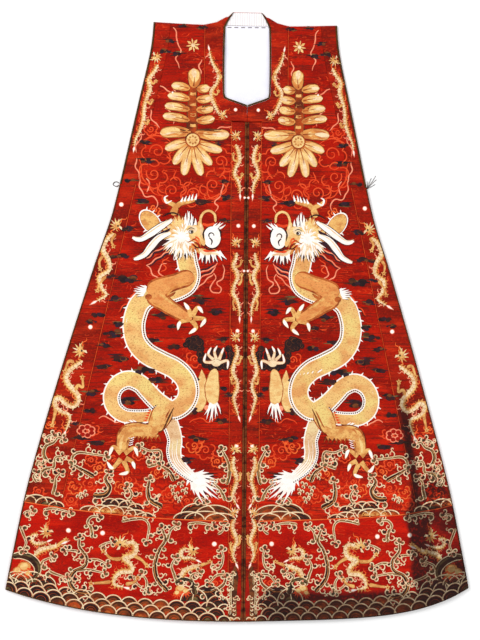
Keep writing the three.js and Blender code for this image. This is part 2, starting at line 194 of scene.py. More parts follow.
def underside(x, drop):
    """The upper layer's underside, lying on the back or on the lining at the neck."""
    swell = SWELL + 0.5 * np.sin(x / 47 + drop / 130) + 0.4 * np.sin(drop / 61 - x / 90)
    lift = swell + raised(x, drop, FOLDS)
    lift = (lift + np.hypot(lift, 1)) / 2
    fade = smooth((side_edge(drop) - np.abs(x)) / EDGE_FADE) * smooth((drop + 10) / EDGE_FADE)
    past = np.hypot(
        np.maximum(np.abs(x) - NECK_LINING_HALF, 0), np.maximum(drop - NECK_LINING_DROP, 0)
    )
    over_lining = 1 - smooth((past - 20) / 60)
    return BACK_CLOTH + GAP + (LINING + GAP) * over_lining + lift * fade


def cloth_top(x, drop):
    creased = raised(x, drop, CREASES) * smooth((side_edge(drop) - np.abs(x)) / 20)
    return underside(x, drop) + CLOTH + creased


# ---------------------------------------------------------------- finishes


class Value:
    """A number that varies over a surface. Arithmetic on it adds Math nodes."""

    def __init__(self, finish, socket):
        self.finish, self.socket = finish, socket

    def _with(self, operation, *others):
        inputs = {i: value for i, value in enumerate((self, *others))}
        return self.finish.node("Math", {"operation": operation}, inputs)

    def __add__(self, other):
        return self._with("ADD", other)

    def __mul__(self, other):
        return self._with("MULTIPLY", other)

    def __sub__(self, other):
        return self._with("SUBTRACT", other)

    def __rsub__(self, other):
        return self.finish.node("Math", {"operation": "SUBTRACT"}, {0: other, 1: self})

    def __gt__(self, other):
        return self._with("GREATER_THAN", other)

    __radd__ = __add__
    __rmul__ = __mul__

    def absolute(self):
        return self._with("ABSOLUTE")

    def sine(self):
        return self._with("SINE")

    def larger(self, other):
        return self._with("MAXIMUM", other)

    def between(self, low, high):
        """0 at low, 1 at high, and smooth between them."""
        inputs = {0: self, 1: low, 2: high}
        return self.finish.node("MapRange", {"interpolation_type": "SMOOTHSTEP"}, inputs)


class Finish:
    """A material being made."""

    def __init__(self, name, roughness, sheen=0.0):
        self.material = bpy.data.materials.new(name)
        self.material.use_nodes = True
        self.nodes = self.material.node_tree.nodes
        self.links = self.material.node_tree.links
        self.shader = self.nodes["Principled BSDF"]
        self.shader.inputs["Roughness"].default_value = roughness
        self.shader.inputs["Specular IOR Level"].default_value = 0.05
        self.shader.inputs["Sheen Weight"].default_value = sheen
        self.shader.inputs["Sheen Roughness"].default_value = 0.4
        self.place = self.node("TexCoord", output="Object")

    def node(self, kind, settings=None, inputs=None, output=0):
        made = self.nodes.new("ShaderNode" + kind)
        for setting, value in (settings or {}).items():
            setattr(made, setting, value)
        for key, value in (inputs or {}).items():
            self.feed(made.inputs[key], value)
        return Value(self, made.outputs[output])

    def feed(self, socket, value):
        if isinstance(value, Value):
            self.links.new(value.socket, socket)
        else:
            socket.default_value = value

    def mix(self, share, first, second):
        """A blend of two colours."""
        inputs = {0: share, 6: as_colour(first), 7: as_colour(second)}
        return self.node("Mix", {"data_type": "RGBA", "clamp_factor": True}, inputs, output=2)

    def noise(self, scale, stretch=(1, 1, 1), detail=3.0, offset=0.0):
        """Cloudy noise from 0 to 1, drawn out along an axis. Each offset gives another pattern."""
        drawn_out = {"Vector": self.place, "Location": (offset, offset, 0), "Scale": stretch}
        spread = self.node("Mapping", None, drawn_out)
        inputs = {"Vector": spread, "Scale": scale, "Detail": detail}
        return self.node("TexNoise", None, inputs)

    def axes(self):
        """x and y of the surface, in millimetres."""
        apart = self.nodes.new("ShaderNodeSeparateXYZ")
        self.links.new(self.place.socket, apart.inputs[0])
        return (Value(self, apart.outputs[0]) * 1000, Value(self, apart.outputs[1]) * 1000)

    def bump(self, height, distance):
        """The surface's relief, with distance in millimetres."""
        inputs = {"Height": height, "Distance": distance * MM, "Strength": 1.0}
        self.feed(self.shader.inputs["Normal"], self.node("Bump", None, inputs))

    def done(self, colour, roughness=None):
        """The finished material."""
        self.feed(self.shader.inputs["Base Color"], as_colour(colour))
        if roughness is not None:
            self.feed(self.shader.inputs["Roughness"], roughness)
        return self.material


def as_colour(value):
    """A dye's red, green and blue as a socket takes them, or a colour that varies as it is."""
    return (*value, 1.0) if isinstance(value, tuple) else value


def dye(red, green, blue):
    """A dye given as display values up to 255, in the renderer's linear values."""
    return tuple(
        (c / 255 / 12.92 if c / 255 <= 0.04045 else ((c / 255 + 0.055) / 1.055) ** 2.4)
        for c in (red, green, blue)
    )


# dark brown of the painted shade where the side turns down at the hem corner, and of the stains there
STAIN_AND_SHADE = dye(36, 20, 18)
DARK_WEFT = dye(84, 26, 18)
LINE_ORANGE = dye(232, 74, 32)
GLOW_RED = dye(216, 40, 12)
FLECK = dye(150, 92, 50)


def stain_and_painted_shade(finish, colour, strength=0.95):
    """Painted shade in dark brown at the wearer's left hem corner, up the trough beside it and over the hem
    there, where the side turns down; and a water stain's tide mark and small spots.
    """
    x, y = finish.axes()
    ragged = finish.noise(22, detail=4) * 70 - 35
    fine = finish.noise(150, detail=3)
    mottled = finish.noise(60, detail=2).between(0.1, 0.34) * (fine.between(0.3, 0.5) * 0.25 + 0.75)
    # painted shade over the corner of the hem, past a line that runs down to the side
    corner = (x * 0.41 - y + ragged * 0.45).between(694, 716) * (x + ragged * 0.4).between(380, 402)
    # a tide mark under the hem band's seam
    under_seam = (ragged * 0.2 - y).between(408, 414) * (1 - (ragged - y).between(454, 490))
    under_seam = under_seam * x.between(388, 412) * 0.9
    # painted shade in the trough of the side fold, wider in the hem band
    low = 1 - y.between(-440, -400)
    reach = (x + y * 0.15 - 334 + ragged * 0.45).absolute() - low * 19
    trough = (1 - reach.between(3, 19)) * (1 - y.between(-250, -90))
    # small spots in the side band
    spots_apart = ((x - 428).absolute() * 0.022 + (y + 388).absolute() * 0.013).between(0.6, 1.1)
    spotted = (1 - spots_apart) * fine.between(0.42, 0.52) * 0.9
    # painted shade over the waves at the hem, and a thin veil of painted shade over the hem band's end
    hem_dark = (1 - (y + ragged * 0.3).between(-612, -588)) * x.between(20, 90)
    veil = x.between(392, 410) * (1 - (y + ragged * 0.3).between(-462, -440))
    veil = veil * (fine.between(0.3, 0.55) * 0.3 + 0.3)
    share = corner.larger(trough).larger(hem_dark).larger(under_seam).larger(spotted)
    return finish.mix((share * mottled).larger(veil) * strength, colour, STAIN_AND_SHADE)


def weave(finish, depth=0.12):
    """The ribs of tapestry weave, running down the cloth, with slubs in the thread."""
    x, y = finish.axes()
    ribs = (x * (2 * math.pi / 0.9)).sine() * 0.5
    picks = (y * (2 * math.pi / 0.55)).sine() * 0.3
    slubs = finish.noise(900, (1, 3, 1), detail=2) * 1.2
    finish.bump(ribs + picks + slubs, depth)


def silk(name, ground, deep, bright, offset=0.0, lines=0.8, dark=1.0, glow_drop=None):
    """Dyed silk ground: cloudy dye, dark and bright weft streaks across, and fine wavy lines."""
    finish = Finish(name, 0.6, sheen=0.02)
    _, y = finish.axes()
    drift = finish.noise(7, (1, 2.4, 1), detail=5, offset=offset)
    colour = finish.mix(drift.between(0.4, 0.62), ground, deep)
    glow = finish.noise(11, (1, 4, 1), detail=4, offset=offset + 4)
    colour = finish.mix(glow.between(0.5, 0.72) * 0.75, colour, bright)
    if glow_drop is not None:
        low = 1 - y.between(SHOULDER_Y - glow_drop - 60, SHOULDER_Y - glow_drop + 40)
        colour = finish.mix(low * glow.between(0.3, 0.6) * 0.9, colour, GLOW_RED)
    contour = finish.noise(13, (1, 3.2, 1), detail=1.6, offset=offset + 9)
    wavy_line = 1 - (contour * 44).sine().absolute().between(0.08, 0.3)
    patches = finish.noise(15, (1, 2, 1), detail=2, offset=offset + 13).between(0.5, 0.6)
    colour = finish.mix(wavy_line * patches * lines, colour, LINE_ORANGE)
    streaks = finish.noise(12, (1, 24, 1), detail=6, offset=offset + 17)
    colour = finish.mix(streaks.between(0.52, 0.64) * 0.7 * dark, colour, DARK_WEFT)
    smudges = finish.noise(20, (1, 5, 1), detail=4, offset=offset + 21)
    colour = finish.mix(smudges.between(0.6, 0.72) * 0.8 * dark, colour, DARK_WEFT)
    grain = finish.noise(210, (1, 1.8, 1), detail=3, offset=offset)
    colour = finish.mix(grain.between(0.5, 0.8) * 0.55, colour, bright)
    colour = finish.mix((1 - grain.between(0.22, 0.5)) * 0.5, colour, DARK_WEFT)
    weave(finish)
    # the ground is darkened by painted shade and stains at the wearer's left hem corner
    return finish.done(stain_and_painted_shade(finish, colour), finish.noise(40) * 0.2 + 0.52)


def thread(name, tone, shade, roughness=0.55, grain=0.6, size=55, flecked=0.0, patch=None,
           stain_and_shade_depth=0.8):
    """Coloured or gilt silk of the woven figures, with shaded threads, dark flecks and patches.
    The last argument is how far the painted shade and the stains at the hem corner darken it."""
    finish = Finish(name, roughness, sheen=0.02)
    bands = finish.noise(size, (1, 1.6, 1), detail=4)
    fine = finish.noise(330, (1, 1.5, 1), detail=3)
    colour = finish.mix(bands.between(0.4, 0.64) * grain, tone, shade)
    if patch:
        spread = finish.noise(14, (1, 1.3, 1), detail=3, offset=8)
        colour = finish.mix(spread.between(0.46, 0.62) * 0.85, colour, patch)
    colour = finish.mix(fine.between(0.48, 0.75) * 0.7 * grain, colour, shade)
    if flecked:
        flecks = finish.noise(260, (1, 1.4, 1), detail=4, offset=5)
        colour = finish.mix(flecks.between(0.52, 0.7) * flecked, colour, FLECK)
    weave(finish, 0.08)
    # the figures there are darkened by painted shade and stains as the ground is
    return finish.done(stain_and_painted_shade(finish, colour, stain_and_shade_depth))


def lining_silk(name):
    """Cool white silk, with the stitches of the seam along the shoulder line."""
    finish = Finish(name, 0.7)
    cool = finish.noise(16, detail=4)
    colour = finish.mix(cool.between(0.35, 0.65), dye(240, 239, 247), dye(232, 232, 243))
    fine = finish.noise(500, (3, 1, 1), detail=2)
    colour = finish.mix(fine.between(0.45, 0.8) * 0.3, colour, dye(246, 240, 244))
    x, y = finish.axes()
    seam = 1 - (y - SHOULDER_Y + 4).absolute().between(0.7, 1.6)
    colour = finish.mix(seam * ((x * 0.42).sine() > -0.3) * 0.85, colour, dye(84, 64, 60))
    weave(finish, 0.06)
    return finish.done(colour)


def facing_silk(name):
    """The collar's facing, with close rows of quilting that run up it."""
    finish = Finish(name, 0.7)
    x, _ = finish.axes()
    rows = (x * (2 * math.pi / 5.2)).sine()
    cloudy = finish.noise(120, (1, 0.3, 1))
    colour = finish.mix(rows.between(0.4, 1.0) * 0.3, dye(246, 241, 241), dye(196, 190, 204))
    colour = finish.mix(cloudy.between(0.45, 0.7) * 0.4, colour, dye(250, 246, 236))
    finish.bump(rows, 0.5)
    return finish.done(colour)


def floor_paper():
    """Plain pale paper."""
    finish = Finish("floor_paper", 0.9)
    soft = finish.noise(2, detail=2)
    return finish.done(finish.mix(soft * 0.5, (0.93, 0.93, 0.93), (0.90, 0.90, 0.90)))


FINISHES = {
    "ground": silk("ground_silk", dye(172, 22, 5), dye(136, 16, 6), dye(208, 38, 10), glow_drop=985),
    "band": silk("band_silk", dye(168, 26, 8), dye(126, 20, 8), dye(202, 50, 18), 30, 0.5, 0.9),
    "hem": silk("hem_band_silk", dye(188, 20, 6), dye(154, 14, 6), dye(214, 38, 10), 50, 0.4, 0.35),
    "back": silk("back_silk", dye(170, 22, 10), dye(140, 14, 8), dye(200, 48, 22), 70, 0.0),
    "lining": lining_silk("lining_silk"),
    "facing": facing_silk("collar_facing_silk"),
    "binding": thread("edge_binding", dye(84, 58, 26), dye(48, 30, 18), 0.6),
    "opening_binding": thread("opening_binding", dye(120, 62, 30), dye(40, 22, 16), 0.6, 0.9),
    "piping": thread("seam_piping", dye(206, 72, 32), dye(150, 34, 18), 0.5),
    "gold": thread("gold_thread", dye(231, 180, 106), dye(198, 122, 62), 0.5, 0.8, 60, 0.5),
    "pale_gold": thread("pale_gold_thread", dye(238, 204, 136), dye(222, 164, 98), 0.5, 0.8, 60, 0.35),
    "body_gold": thread("body_gold_thread", dye(233, 188, 118), dye(216, 146, 84), 0.5, 0.8, 24, 0.6,
                        patch=dye(232, 206, 126)),
    "honey": thread("honey_gold_thread", dye(228, 162, 92), dye(204, 112, 58), 0.5, 0.8, 60, 0.5,
                    patch=dye(226, 150, 84)),
    "amber": thread("amber_thread", dye(222, 152, 80), dye(186, 100, 48), 0.5, 0.8, 50, 0.4),
    "tan": thread("tan_thread", dye(196, 130, 70), dye(150, 86, 46)),
    "cream": thread("cream_silk", dye(240, 216, 176), dye(214, 162, 116), 0.55, 0.6, 70, 0.2,
                    stain_and_shade_depth=0.72),
    "ivory": thread("ivory_silk", dye(230, 194, 150), dye(210, 162, 116), 0.55, 0.8, 30, 0.5,
                    patch=dye(232, 208, 154)),
    "white": thread("white_silk", dye(250, 244, 238), dye(240, 216, 200), grain=0.4),
    "pink": thread("pink_silk", dye(244, 150, 116), dye(232, 106, 74)),
    "rose": thread("rose_silk", dye(232, 150, 120), dye(214, 96, 66)),
    "orange": thread("orange_silk", dye(226, 78, 38), dye(206, 48, 20)),
    "tangerine": thread("tangerine_silk", dye(234, 104, 48), dye(214, 66, 26)),
    "cherry": thread("cherry_silk", dye(168, 24, 12), dye(110, 24, 16)),
    "rust": thread("rust_silk", dye(176, 70, 28), dye(98, 40, 22), 0.55, 1.0, 30),
    "russet": thread("russet_silk", dye(186, 96, 44), dye(138, 62, 30), 0.55, 1.0, 60),
    "umber": thread("umber_silk", dye(122, 66, 34), dye(72, 40, 26), 0.55, 1.0, 60),
    "olive": thread("olive_silk", dye(112, 92, 56), dye(54, 42, 32), 0.55, 0.9),
    "brown": thread("dark_brown_silk", dye(70, 42, 28), dye(36, 22, 20), 0.55, 0.9),
    "navy": thread("navy_silk", dye(46, 34, 46), dye(66, 28, 24), 0.55, 0.9),
    "black": thread("black_silk", dye(34, 26, 28), dye(60, 34, 30), 0.55, 0.9),
}

# ---------------------------------------------------------------- cloth


def only(piece):
    """Selects one piece and makes it active."""
    bpy.ops.object.select_all(action="DESELECT")
    piece.select_set(True)
    bpy.context.view_layer.objects.active = piece


def placed(piece, finish, slot):
    """A piece with its finish, on the vest's body."""
    piece.data.materials.clear()
    piece.data.materials.append(FINISHES[finish])
    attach(piece, BODY)
    return piece


def grid_piece(name, x, drop, height, thickness, finish, slot):
    """A grid primitive laid out on plan points, a row for each line across, then thickened."""
    rows, columns = x.shape
    bpy.ops.object.select_all(action="DESELECT")
    bpy.ops.mesh.primitive_grid_add(x_subdivisions=columns - 1, y_subdivisions=rows - 1, size=2)
    piece = bpy.context.object
    piece.name = piece.data.name = name
    flat = np.zeros(rows * columns * 3)
    piece.data.vertices.foreach_get("co", flat)
    flat = flat.reshape(-1, 3)
    column = np.rint((flat[:, 0] + 1) / 2 * (columns - 1)).astype(int)
    row = rows - 1 - np.rint((flat[:, 1] + 1) / 2 * (rows - 1)).astype(int)
    if x[0, 0] > x[0, -1]:
        column = columns - 1 - column
    points = np.stack([*laid(x, drop), height], axis=-1)[row, column] * MM
    piece.data.vertices.foreach_set("co", points.ravel())
    piece.data.update()
    only(piece)
    bpy.ops.object.modifier_add(type="SOLIDIFY")
    wall = piece.modifiers[-1]
    wall.thickness, wall.offset = thickness * MM, -1
    bpy.ops.object.modifier_apply(modifier=wall.name)
    bpy.ops.object.shade_smooth_by_angle(angle=math.radians(40))
    return placed(piece, finish, slot)


def across(inner, outer, drops, shares, line_of=None):
    """Plan points between two side lines. line_of bends a row's nominal drop to its own curve."""
    nominal = np.array(drops, float)[:, None]
    share = np.array(shares, float)[None, :]
    drop = nominal + 0 * share
    for _ in range(8):
        x = inner(drop) * (1 - share) + outer(drop) * share
        if line_of is not None:
            drop = line_of(nominal, x)
    return x, drop


def even(start, end, step):
    """Values from start to end, about a step apart."""
    return np.linspace(start, end, max(int(round(abs(end - start) / step)), 1) + 1)


def edged(width, step, lip=1.6):
    """Shares across a width, close together at both edges, where the cloth turns down."""
    inner = even(lip, width - lip, step)
    return np.concatenate([[0, lip / 3], inner, [width - lip / 3, width]]) / width


def turned_down(top, shares, width, lip=1.6, fall=0.7):
    """The height with its two side edges rounded down."""
    inward = np.minimum(shares, 1 - shares) * width
    return top - fall * (1 - smooth(inward / lip)) ** 2


def flat_area(x, drop):
    """A panel's plan area in square metres."""
    quads = (x[:-1, :-1], x[1:, :-1], x[1:, 1:], x[:-1, 1:])
    downs = (drop[:-1, :-1], drop[1:, :-1], drop[1:, 1:], drop[:-1, 1:])
    twice = sum(quads[i] * downs[(i + 1) % 4] - quads[(i + 1) % 4] * downs[i] for i in range(4))
    return float(np.abs(twice).sum() / 2) * MM * MM


def lay_sheet(piece, x, drop):
    """Works out the smallest rectangle that a piece of cloth could be cut from, and its plan area, but keeps
    neither.
    """
    sizes = []
    for turn in np.radians(range(-30, 31, 2)):
        wide = np.ptp(x * np.cos(turn) + drop * np.sin(turn))
        long = np.ptp(drop * np.cos(turn) - x * np.sin(turn))
        sizes.append((float(wide) * MM, float(long) * MM))
    smallest = min(sizes, key=lambda size: size[0] * size[1])
    flat_area(x, drop)


def panel_pair(name, x, drop, width, shares, finish):
    """A panel of the upper layer on each half."""
    for side, suffix in ((1, "left"), (-1, "right")):
        top = turned_down(cloth_top(side * x, drop), shares[None, :], width)
        node = f"{name}_{suffix}"
        piece = grid_piece(f"{node}_cloth", side * x, drop, top, PANEL_WALL, finish,
                           "silk_ground" if finish == "ground" else "silk_band")
        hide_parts(node)
        lay_sheet(piece, x, drop)


def bend_to_hem(nominal, x):
    """A row's drop, bent up at the sides as the row nears the hem band's seam."""
    share = smooth((nominal - HEM_BEND_START) / (HEM_BAND_DROP - HEM_BEND_START))
    return nominal - HEM_BAND_RISE * (x / HEM_BAND_REACH) ** 2 * share


def front_inner(drop):
    """The front's inner seam: past the neck band, then along the front band."""
    rows = np.array(NECK_BAND[NECK_BAND_SHOULDER_ROW:])
    along_neck = np.interp(drop - SEAM_ROOM, rows[:, 3], rows[:, 2]) + SEAM_ROOM
    return np.maximum(np.where(drop - SEAM_ROOM <= rows[-1, 3], along_neck, 0),
                      FRONT_BAND_HALF + SEAM_ROOM)


def front_outer(drop):
    """The front's outer seam: along the armhole band, then along the side band."""
    armhole = side_edge(drop) - ARMHOLE_BAND - GAP
    return np.where(drop < UNDERARM_DROP, armhole, side_seam(drop) - SEAM_ROOM)


def lay_fronts():
    drops = np.concatenate([
        even(1, 165, 4.5)[:-1], even(165, 200.3, 2.5)[:-1], even(200.3, 214, 1)[:-1],
        even(214, 250, 3)[:-1], even(250, UNDERARM_DROP - 1, 5),
        even(UNDERARM_DROP + 1, HEM_BAND_DROP - SEAM_ROOM, 5),
    ])
    shares = edged(250, 5)
    x, drop = across(front_inner, front_outer, drops, shares, bend_to_hem)
    panel_pair("front", x, drop, 250, shares, "ground")


def lay_side_bands():
    shares = edged(70, 5)
    drops = even(UNDERARM_DROP + GAP, HEM_BAND_DROP - SEAM_ROOM, 5)
    x, drop = across(lambda d: side_seam(d) + SEAM_ROOM, side_edge, drops, shares, bend_to_hem)
    panel_pair("side_band", x, drop, 70, shares, "band")


def lay_armhole_bands():
    shares = edged(31, 4)
    drops = even(1, UNDERARM_DROP - GAP, 4.5)
    x, drop = across(lambda d: side_edge(d) - ARMHOLE_BAND,
                     lambda d: side_edge(d) - BINDING - GAP, drops, shares)
    panel_pair("armhole_band", x, drop, 31, shares, "band")


def lay_hem_bands():
    shares = edged(440, 5)
    down = edged(220, 5)
    share = shares[None, :]
    drop = HEM_BAND_DROP + (FRONT_LENGTH - HEM_BAND_DROP) * down[:, None] + 0 * share
    for _ in range(10):
        x = (FRONT_BAND_HALF + SEAM_ROOM) * (1 - share) + side_edge(drop) * share
        top, foot = hem_band_seam(x) + SEAM_ROOM, hem(x)
        drop = top + (foot - top) * down[:, None]
    panel_pair("hem_band", x, drop, 440, shares, "hem")


def lay_front_bands():
    shares = edged(26, 4)
    top = NECK_BAND_FOOT + GAP

    def line_of(nominal, x):
        return top + (hem(x) - top) * (nominal - top) / (FRONT_LENGTH - top)

    drops = even(top, FRONT_LENGTH, 5)
    x, drop = across(lambda d: 0 * d + OPENING_GAP + BINDING + GAP,
                     lambda d: 0 * d + FRONT_BAND_HALF - SEAM_ROOM, drops, shares, line_of)
    panel_pair("front_band", x, drop, 26, shares, "band")
    trim_pair("front_binding", *across(lambda d: 0 * d + OPENING_GAP,
              lambda d: 0 * d + OPENING_GAP + BINDING, drops, CROWN, line_of), "opening_binding")
    trim_pair("front_piping", *across(lambda d: 0 * d + FRONT_BAND_HALF - PIPING / 2,
              lambda d: 0 * d + FRONT_BAND_HALF + PIPING / 2, drops, CROWN, line_of), "piping")


# shares across a trim strip, and how far its round top stands over the cloth at each
CROWN = np.array([0, 0.12, 0.3, 0.5, 0.7, 0.88, 1])
CROWN_RISE = 0.9 * np.sqrt(np.clip(1 - (2 * CROWN - 1) ** 2, 0, 1)) - 0.3


def trim_pair(name, x, drop, finish):
    """A binding or a piping on each half: a narrow strip with a round top."""
    slot = "seam_piping" if finish == "piping" else "edge_binding"
    for side, suffix in ((1, "left"), (-1, "right")):
        node = f"{name}_{suffix}"
        top = cloth_top(side * x, drop) + CROWN_RISE[None, :]
        piece = grid_piece(f"{node}_strip", side * x, drop, top, TRIM_WALL, finish, slot)
        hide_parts(node)


def neck_plan(start, end, shares, first=0, last=None):
    """Plan points across the neck band, at distances in from its inner and outer edges."""
    rows = np.array(NECK_BAND[first:last])
    lengths = np.hypot(np.diff(rows[:, 0] + rows[:, 2]), np.diff(rows[:, 1] + rows[:, 3])) / 2
    steps = np.concatenate([
        even(i, i + 1, 1 / max(round(length / 4), 1))[:-1] for i, length in enumerate(lengths)
    ] + [[len(lengths)]])
    fine = np.stack([np.interp(steps, np.arange(len(rows)), rows[:, k]) for k in range(4)], 1)
    in_x, in_drop, out_x, out_drop = fine.T[:, :, None]
    width = np.hypot(out_x - in_x, out_drop - in_drop)
    share = (start(width) + (end(width) - start(width)) * shares[None, :]) / width
    x = np.maximum(in_x + (out_x - in_x) * share, OPENING_GAP)
    return x, in_drop + (out_drop - in_drop) * share


def lay_neck_bands():
    shares = edged(38, 4)
    x, drop = neck_plan(lambda w: BINDING + GAP, lambda w: w - SEAM_ROOM, shares, 1)
    panel_pair("neck_band", x, drop, 38, shares, "band")
    trim_pair("neck_binding", *neck_plan(lambda w: 0 * w, lambda w: BINDING, CROWN), "binding")
    trim_pair("neck_piping", *neck_plan(lambda w: w - PIPING / 2, lambda w: w + PIPING / 2, CROWN,
              NECK_BAND_SHOULDER_ROW, -1), "piping")


def lay_seam_trim():
    drops = even(1, UNDERARM_DROP - GAP, 4.5)
    trim_pair("armhole_binding", *across(lambda d: side_edge(d) - BINDING, side_edge, drops, CROWN),
              "binding")
    drops = even(UNDERARM_DROP + GAP, HEM_BAND_DROP - SEAM_ROOM, 5)
    trim_pair("side_piping", *across(lambda d: side_seam(d) - PIPING / 2,
              lambda d: side_seam(d) + PIPING / 2, drops, CROWN, bend_to_hem), "piping")
    end = side_edge(hem_band_seam(HEM_BAND_REACH))
    x = even(FRONT_BAND_HALF + SEAM_ROOM, end, 5)[None, :] + 0 * CROWN[:, None]
    drop = hem_band_seam(x) + PIPING * (CROWN[:, None] - 0.5)
    for side, suffix in ((1, "left"), (-1, "right")):
        node = f"hem_piping_{suffix}"
        top = cloth_top(side * x, drop) + CROWN_RISE[:, None]
        piece = grid_piece(f"{node}_strip", side * x, drop, top, TRIM_WALL, "piping", "seam_piping")
        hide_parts(node)


def lay_back():
    """The back: its lower edge is cut to the vest's outline, and its underside is flat."""
    shares = edged(1000, 12)
    down = edged(1310, 12)
    share = shares[None, :]
    drop = GAP + (FRONT_LENGTH - GAP) * down[:, None] + 0 * share
    for _ in range(10):
        x = side_edge(np.minimum(drop, HEM_CORNER_DROP)) * (2 * share - 1)
        drop = GAP + (hem(x) - GAP) * down[:, None]
    rise = np.minimum(turned_down(0, share, 1000), turned_down(0, down[:, None], 1310))
    piece = grid_piece("back_cloth", x, drop, BACK_CLOTH + rise, BACK_CLOTH, "back", "silk_ground")
    flatten_underside(piece)
    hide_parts("back")
    lay_sheet(piece, x, drop)


def flatten_underside(piece):
    """The lower face of a layer that lies on the ground is put on it."""
    heights = np.zeros(len(piece.data.vertices) * 3)
    piece.data.vertices.foreach_get("co", heights)
    heights = heights.reshape(-1, 3)
    heights[heights[:, 2] < BACK_CLOTH / 2 * MM, 2] = 0
    piece.data.vertices.foreach_set("co", heights.ravel())
    piece.data.update()


def lay_neck_inside():
    """What shows through the neck: the back's lining, and the collar with its facing."""
    x = even(-NECK_LINING_HALF, NECK_LINING_HALF, 4)[None, :]
    drop = even(LINING, NECK_LINING_DROP, 4)[:, None]
    x, drop = x + 0 * drop, drop + 0 * x
    ripple = 0.25 * np.sin(x / 9 + drop / 31) * smooth((45 - np.abs(x)) / 20)
    top = BACK_CLOTH + GAP + LINING + ripple - 0.25
    piece = grid_piece("back_lining_cloth", x, drop, top, LINING - 0.3, "lining", "lining_silk")
    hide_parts("back_lining")
    lay_sheet(piece, x, drop)
    for node, half_top, half_base, top_drop, height, thickness, finish, slot in (
        ("collar", COLLAR_HALF_TOP, COLLAR_HALF_BASE, -COLLAR_RISE, BACK_CLOTH, BACK_CLOTH,
         "band", "silk_band"),
        ("collar_facing", FACING_HALF_TOP, FACING_HALF_BASE, 1 - COLLAR_RISE,
         BACK_CLOTH + GAP + LINING, LINING, "facing", "lining_silk"),
    ):
        drops = even(top_drop, 0, 1.5)
        half = np.interp(drops, [top_drop, 0], [half_top, half_base])[:, None]
        x = half * np.linspace(-1, 1, 61)[None, :]
        drop = drops[:, None] + 0 * x
        piece = grid_piece(f"{node}_cloth", x, drop, height + 0 * x, thickness, finish, slot)
        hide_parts(node)
        lay_sheet(piece, x, drop)


# ---------------------------------------------------------------- woven figures

FIGURE_THICKNESS = 0.2
BASE_LIFT = 0.35  # of the lowest figure over the cloth
CROWN_LIMIT = 0.12  # of a strip's middle over its edges
EDGE_ROOM = 0.3  # between a figure and the cloth's edge
SHOULDER_ROOM = 0.6


def line(points, step=3.6):
    """A smooth line through a few (out, drop) points, with points about a step apart."""
    knots = np.array(points, float)
    knots = np.vstack([2 * knots[0] - knots[1], knots, 2 * knots[-1] - knots[-2]])
    made = []
    for a, b, c, d in zip(knots, knots[1:], knots[2:], knots[3:]):
        count = max(int(math.ceil(np.hypot(*(c - b)) / step)), 1)
        t = (np.arange(count) / count)[:, None]
        made.append(0.5 * (2 * b + (c - a) * t + (2 * a - 5 * b + 4 * c - d) * t**2
                           + (3 * b - a - 3 * c + d) * t**3))
    return np.vstack(made + [knots[-2][None, :]])


def turned(points, at=(0, 0), turn=0.0):
    """Points drawn about their own origin, turned in degrees and set down at a place."""
    c, s = math.cos(math.radians(turn)), math.sin(math.radians(turn))
    return np.array(points, float) @ np.array([[c, s], [-s, c]]) + np.array(at, float)


def arc(at, radius, start, end, squash=1.0, step=3.0):
    """Part of a circle, from one bearing to another. 0 points outwards and 90 to the collar."""
    count = max(int(abs(math.radians(end - start)) * np.max(radius) / step), 6)
    bearing = np.radians(np.linspace(start, end, count + 1))
    radius = np.linspace(*radius, count + 1) if np.ndim(radius) else radius
    return np.stack([at[0] + radius * np.cos(bearing),
                     at[1] - radius * np.sin(bearing) * squash], 1)


def around(at, radius, bearing, squash=1.0):
    """The point at one bearing of a circle."""
    angle = math.radians(bearing)
    return np.array([at[0] + radius * math.cos(angle), at[1] - radius * math.sin(angle) * squash])


def trimmed(points):
    """Points moved in to the cloth's edge, where they lie past it."""
    drop = np.maximum(points[:, 1], SHOULDER_ROOM)
    out = np.minimum(points[:, 0], side_edge(np.minimum(drop, HEM_CORNER_DROP)) - EDGE_ROOM)
    return np.stack([out, np.minimum(drop, hem(out) - EDGE_ROOM)], 1)


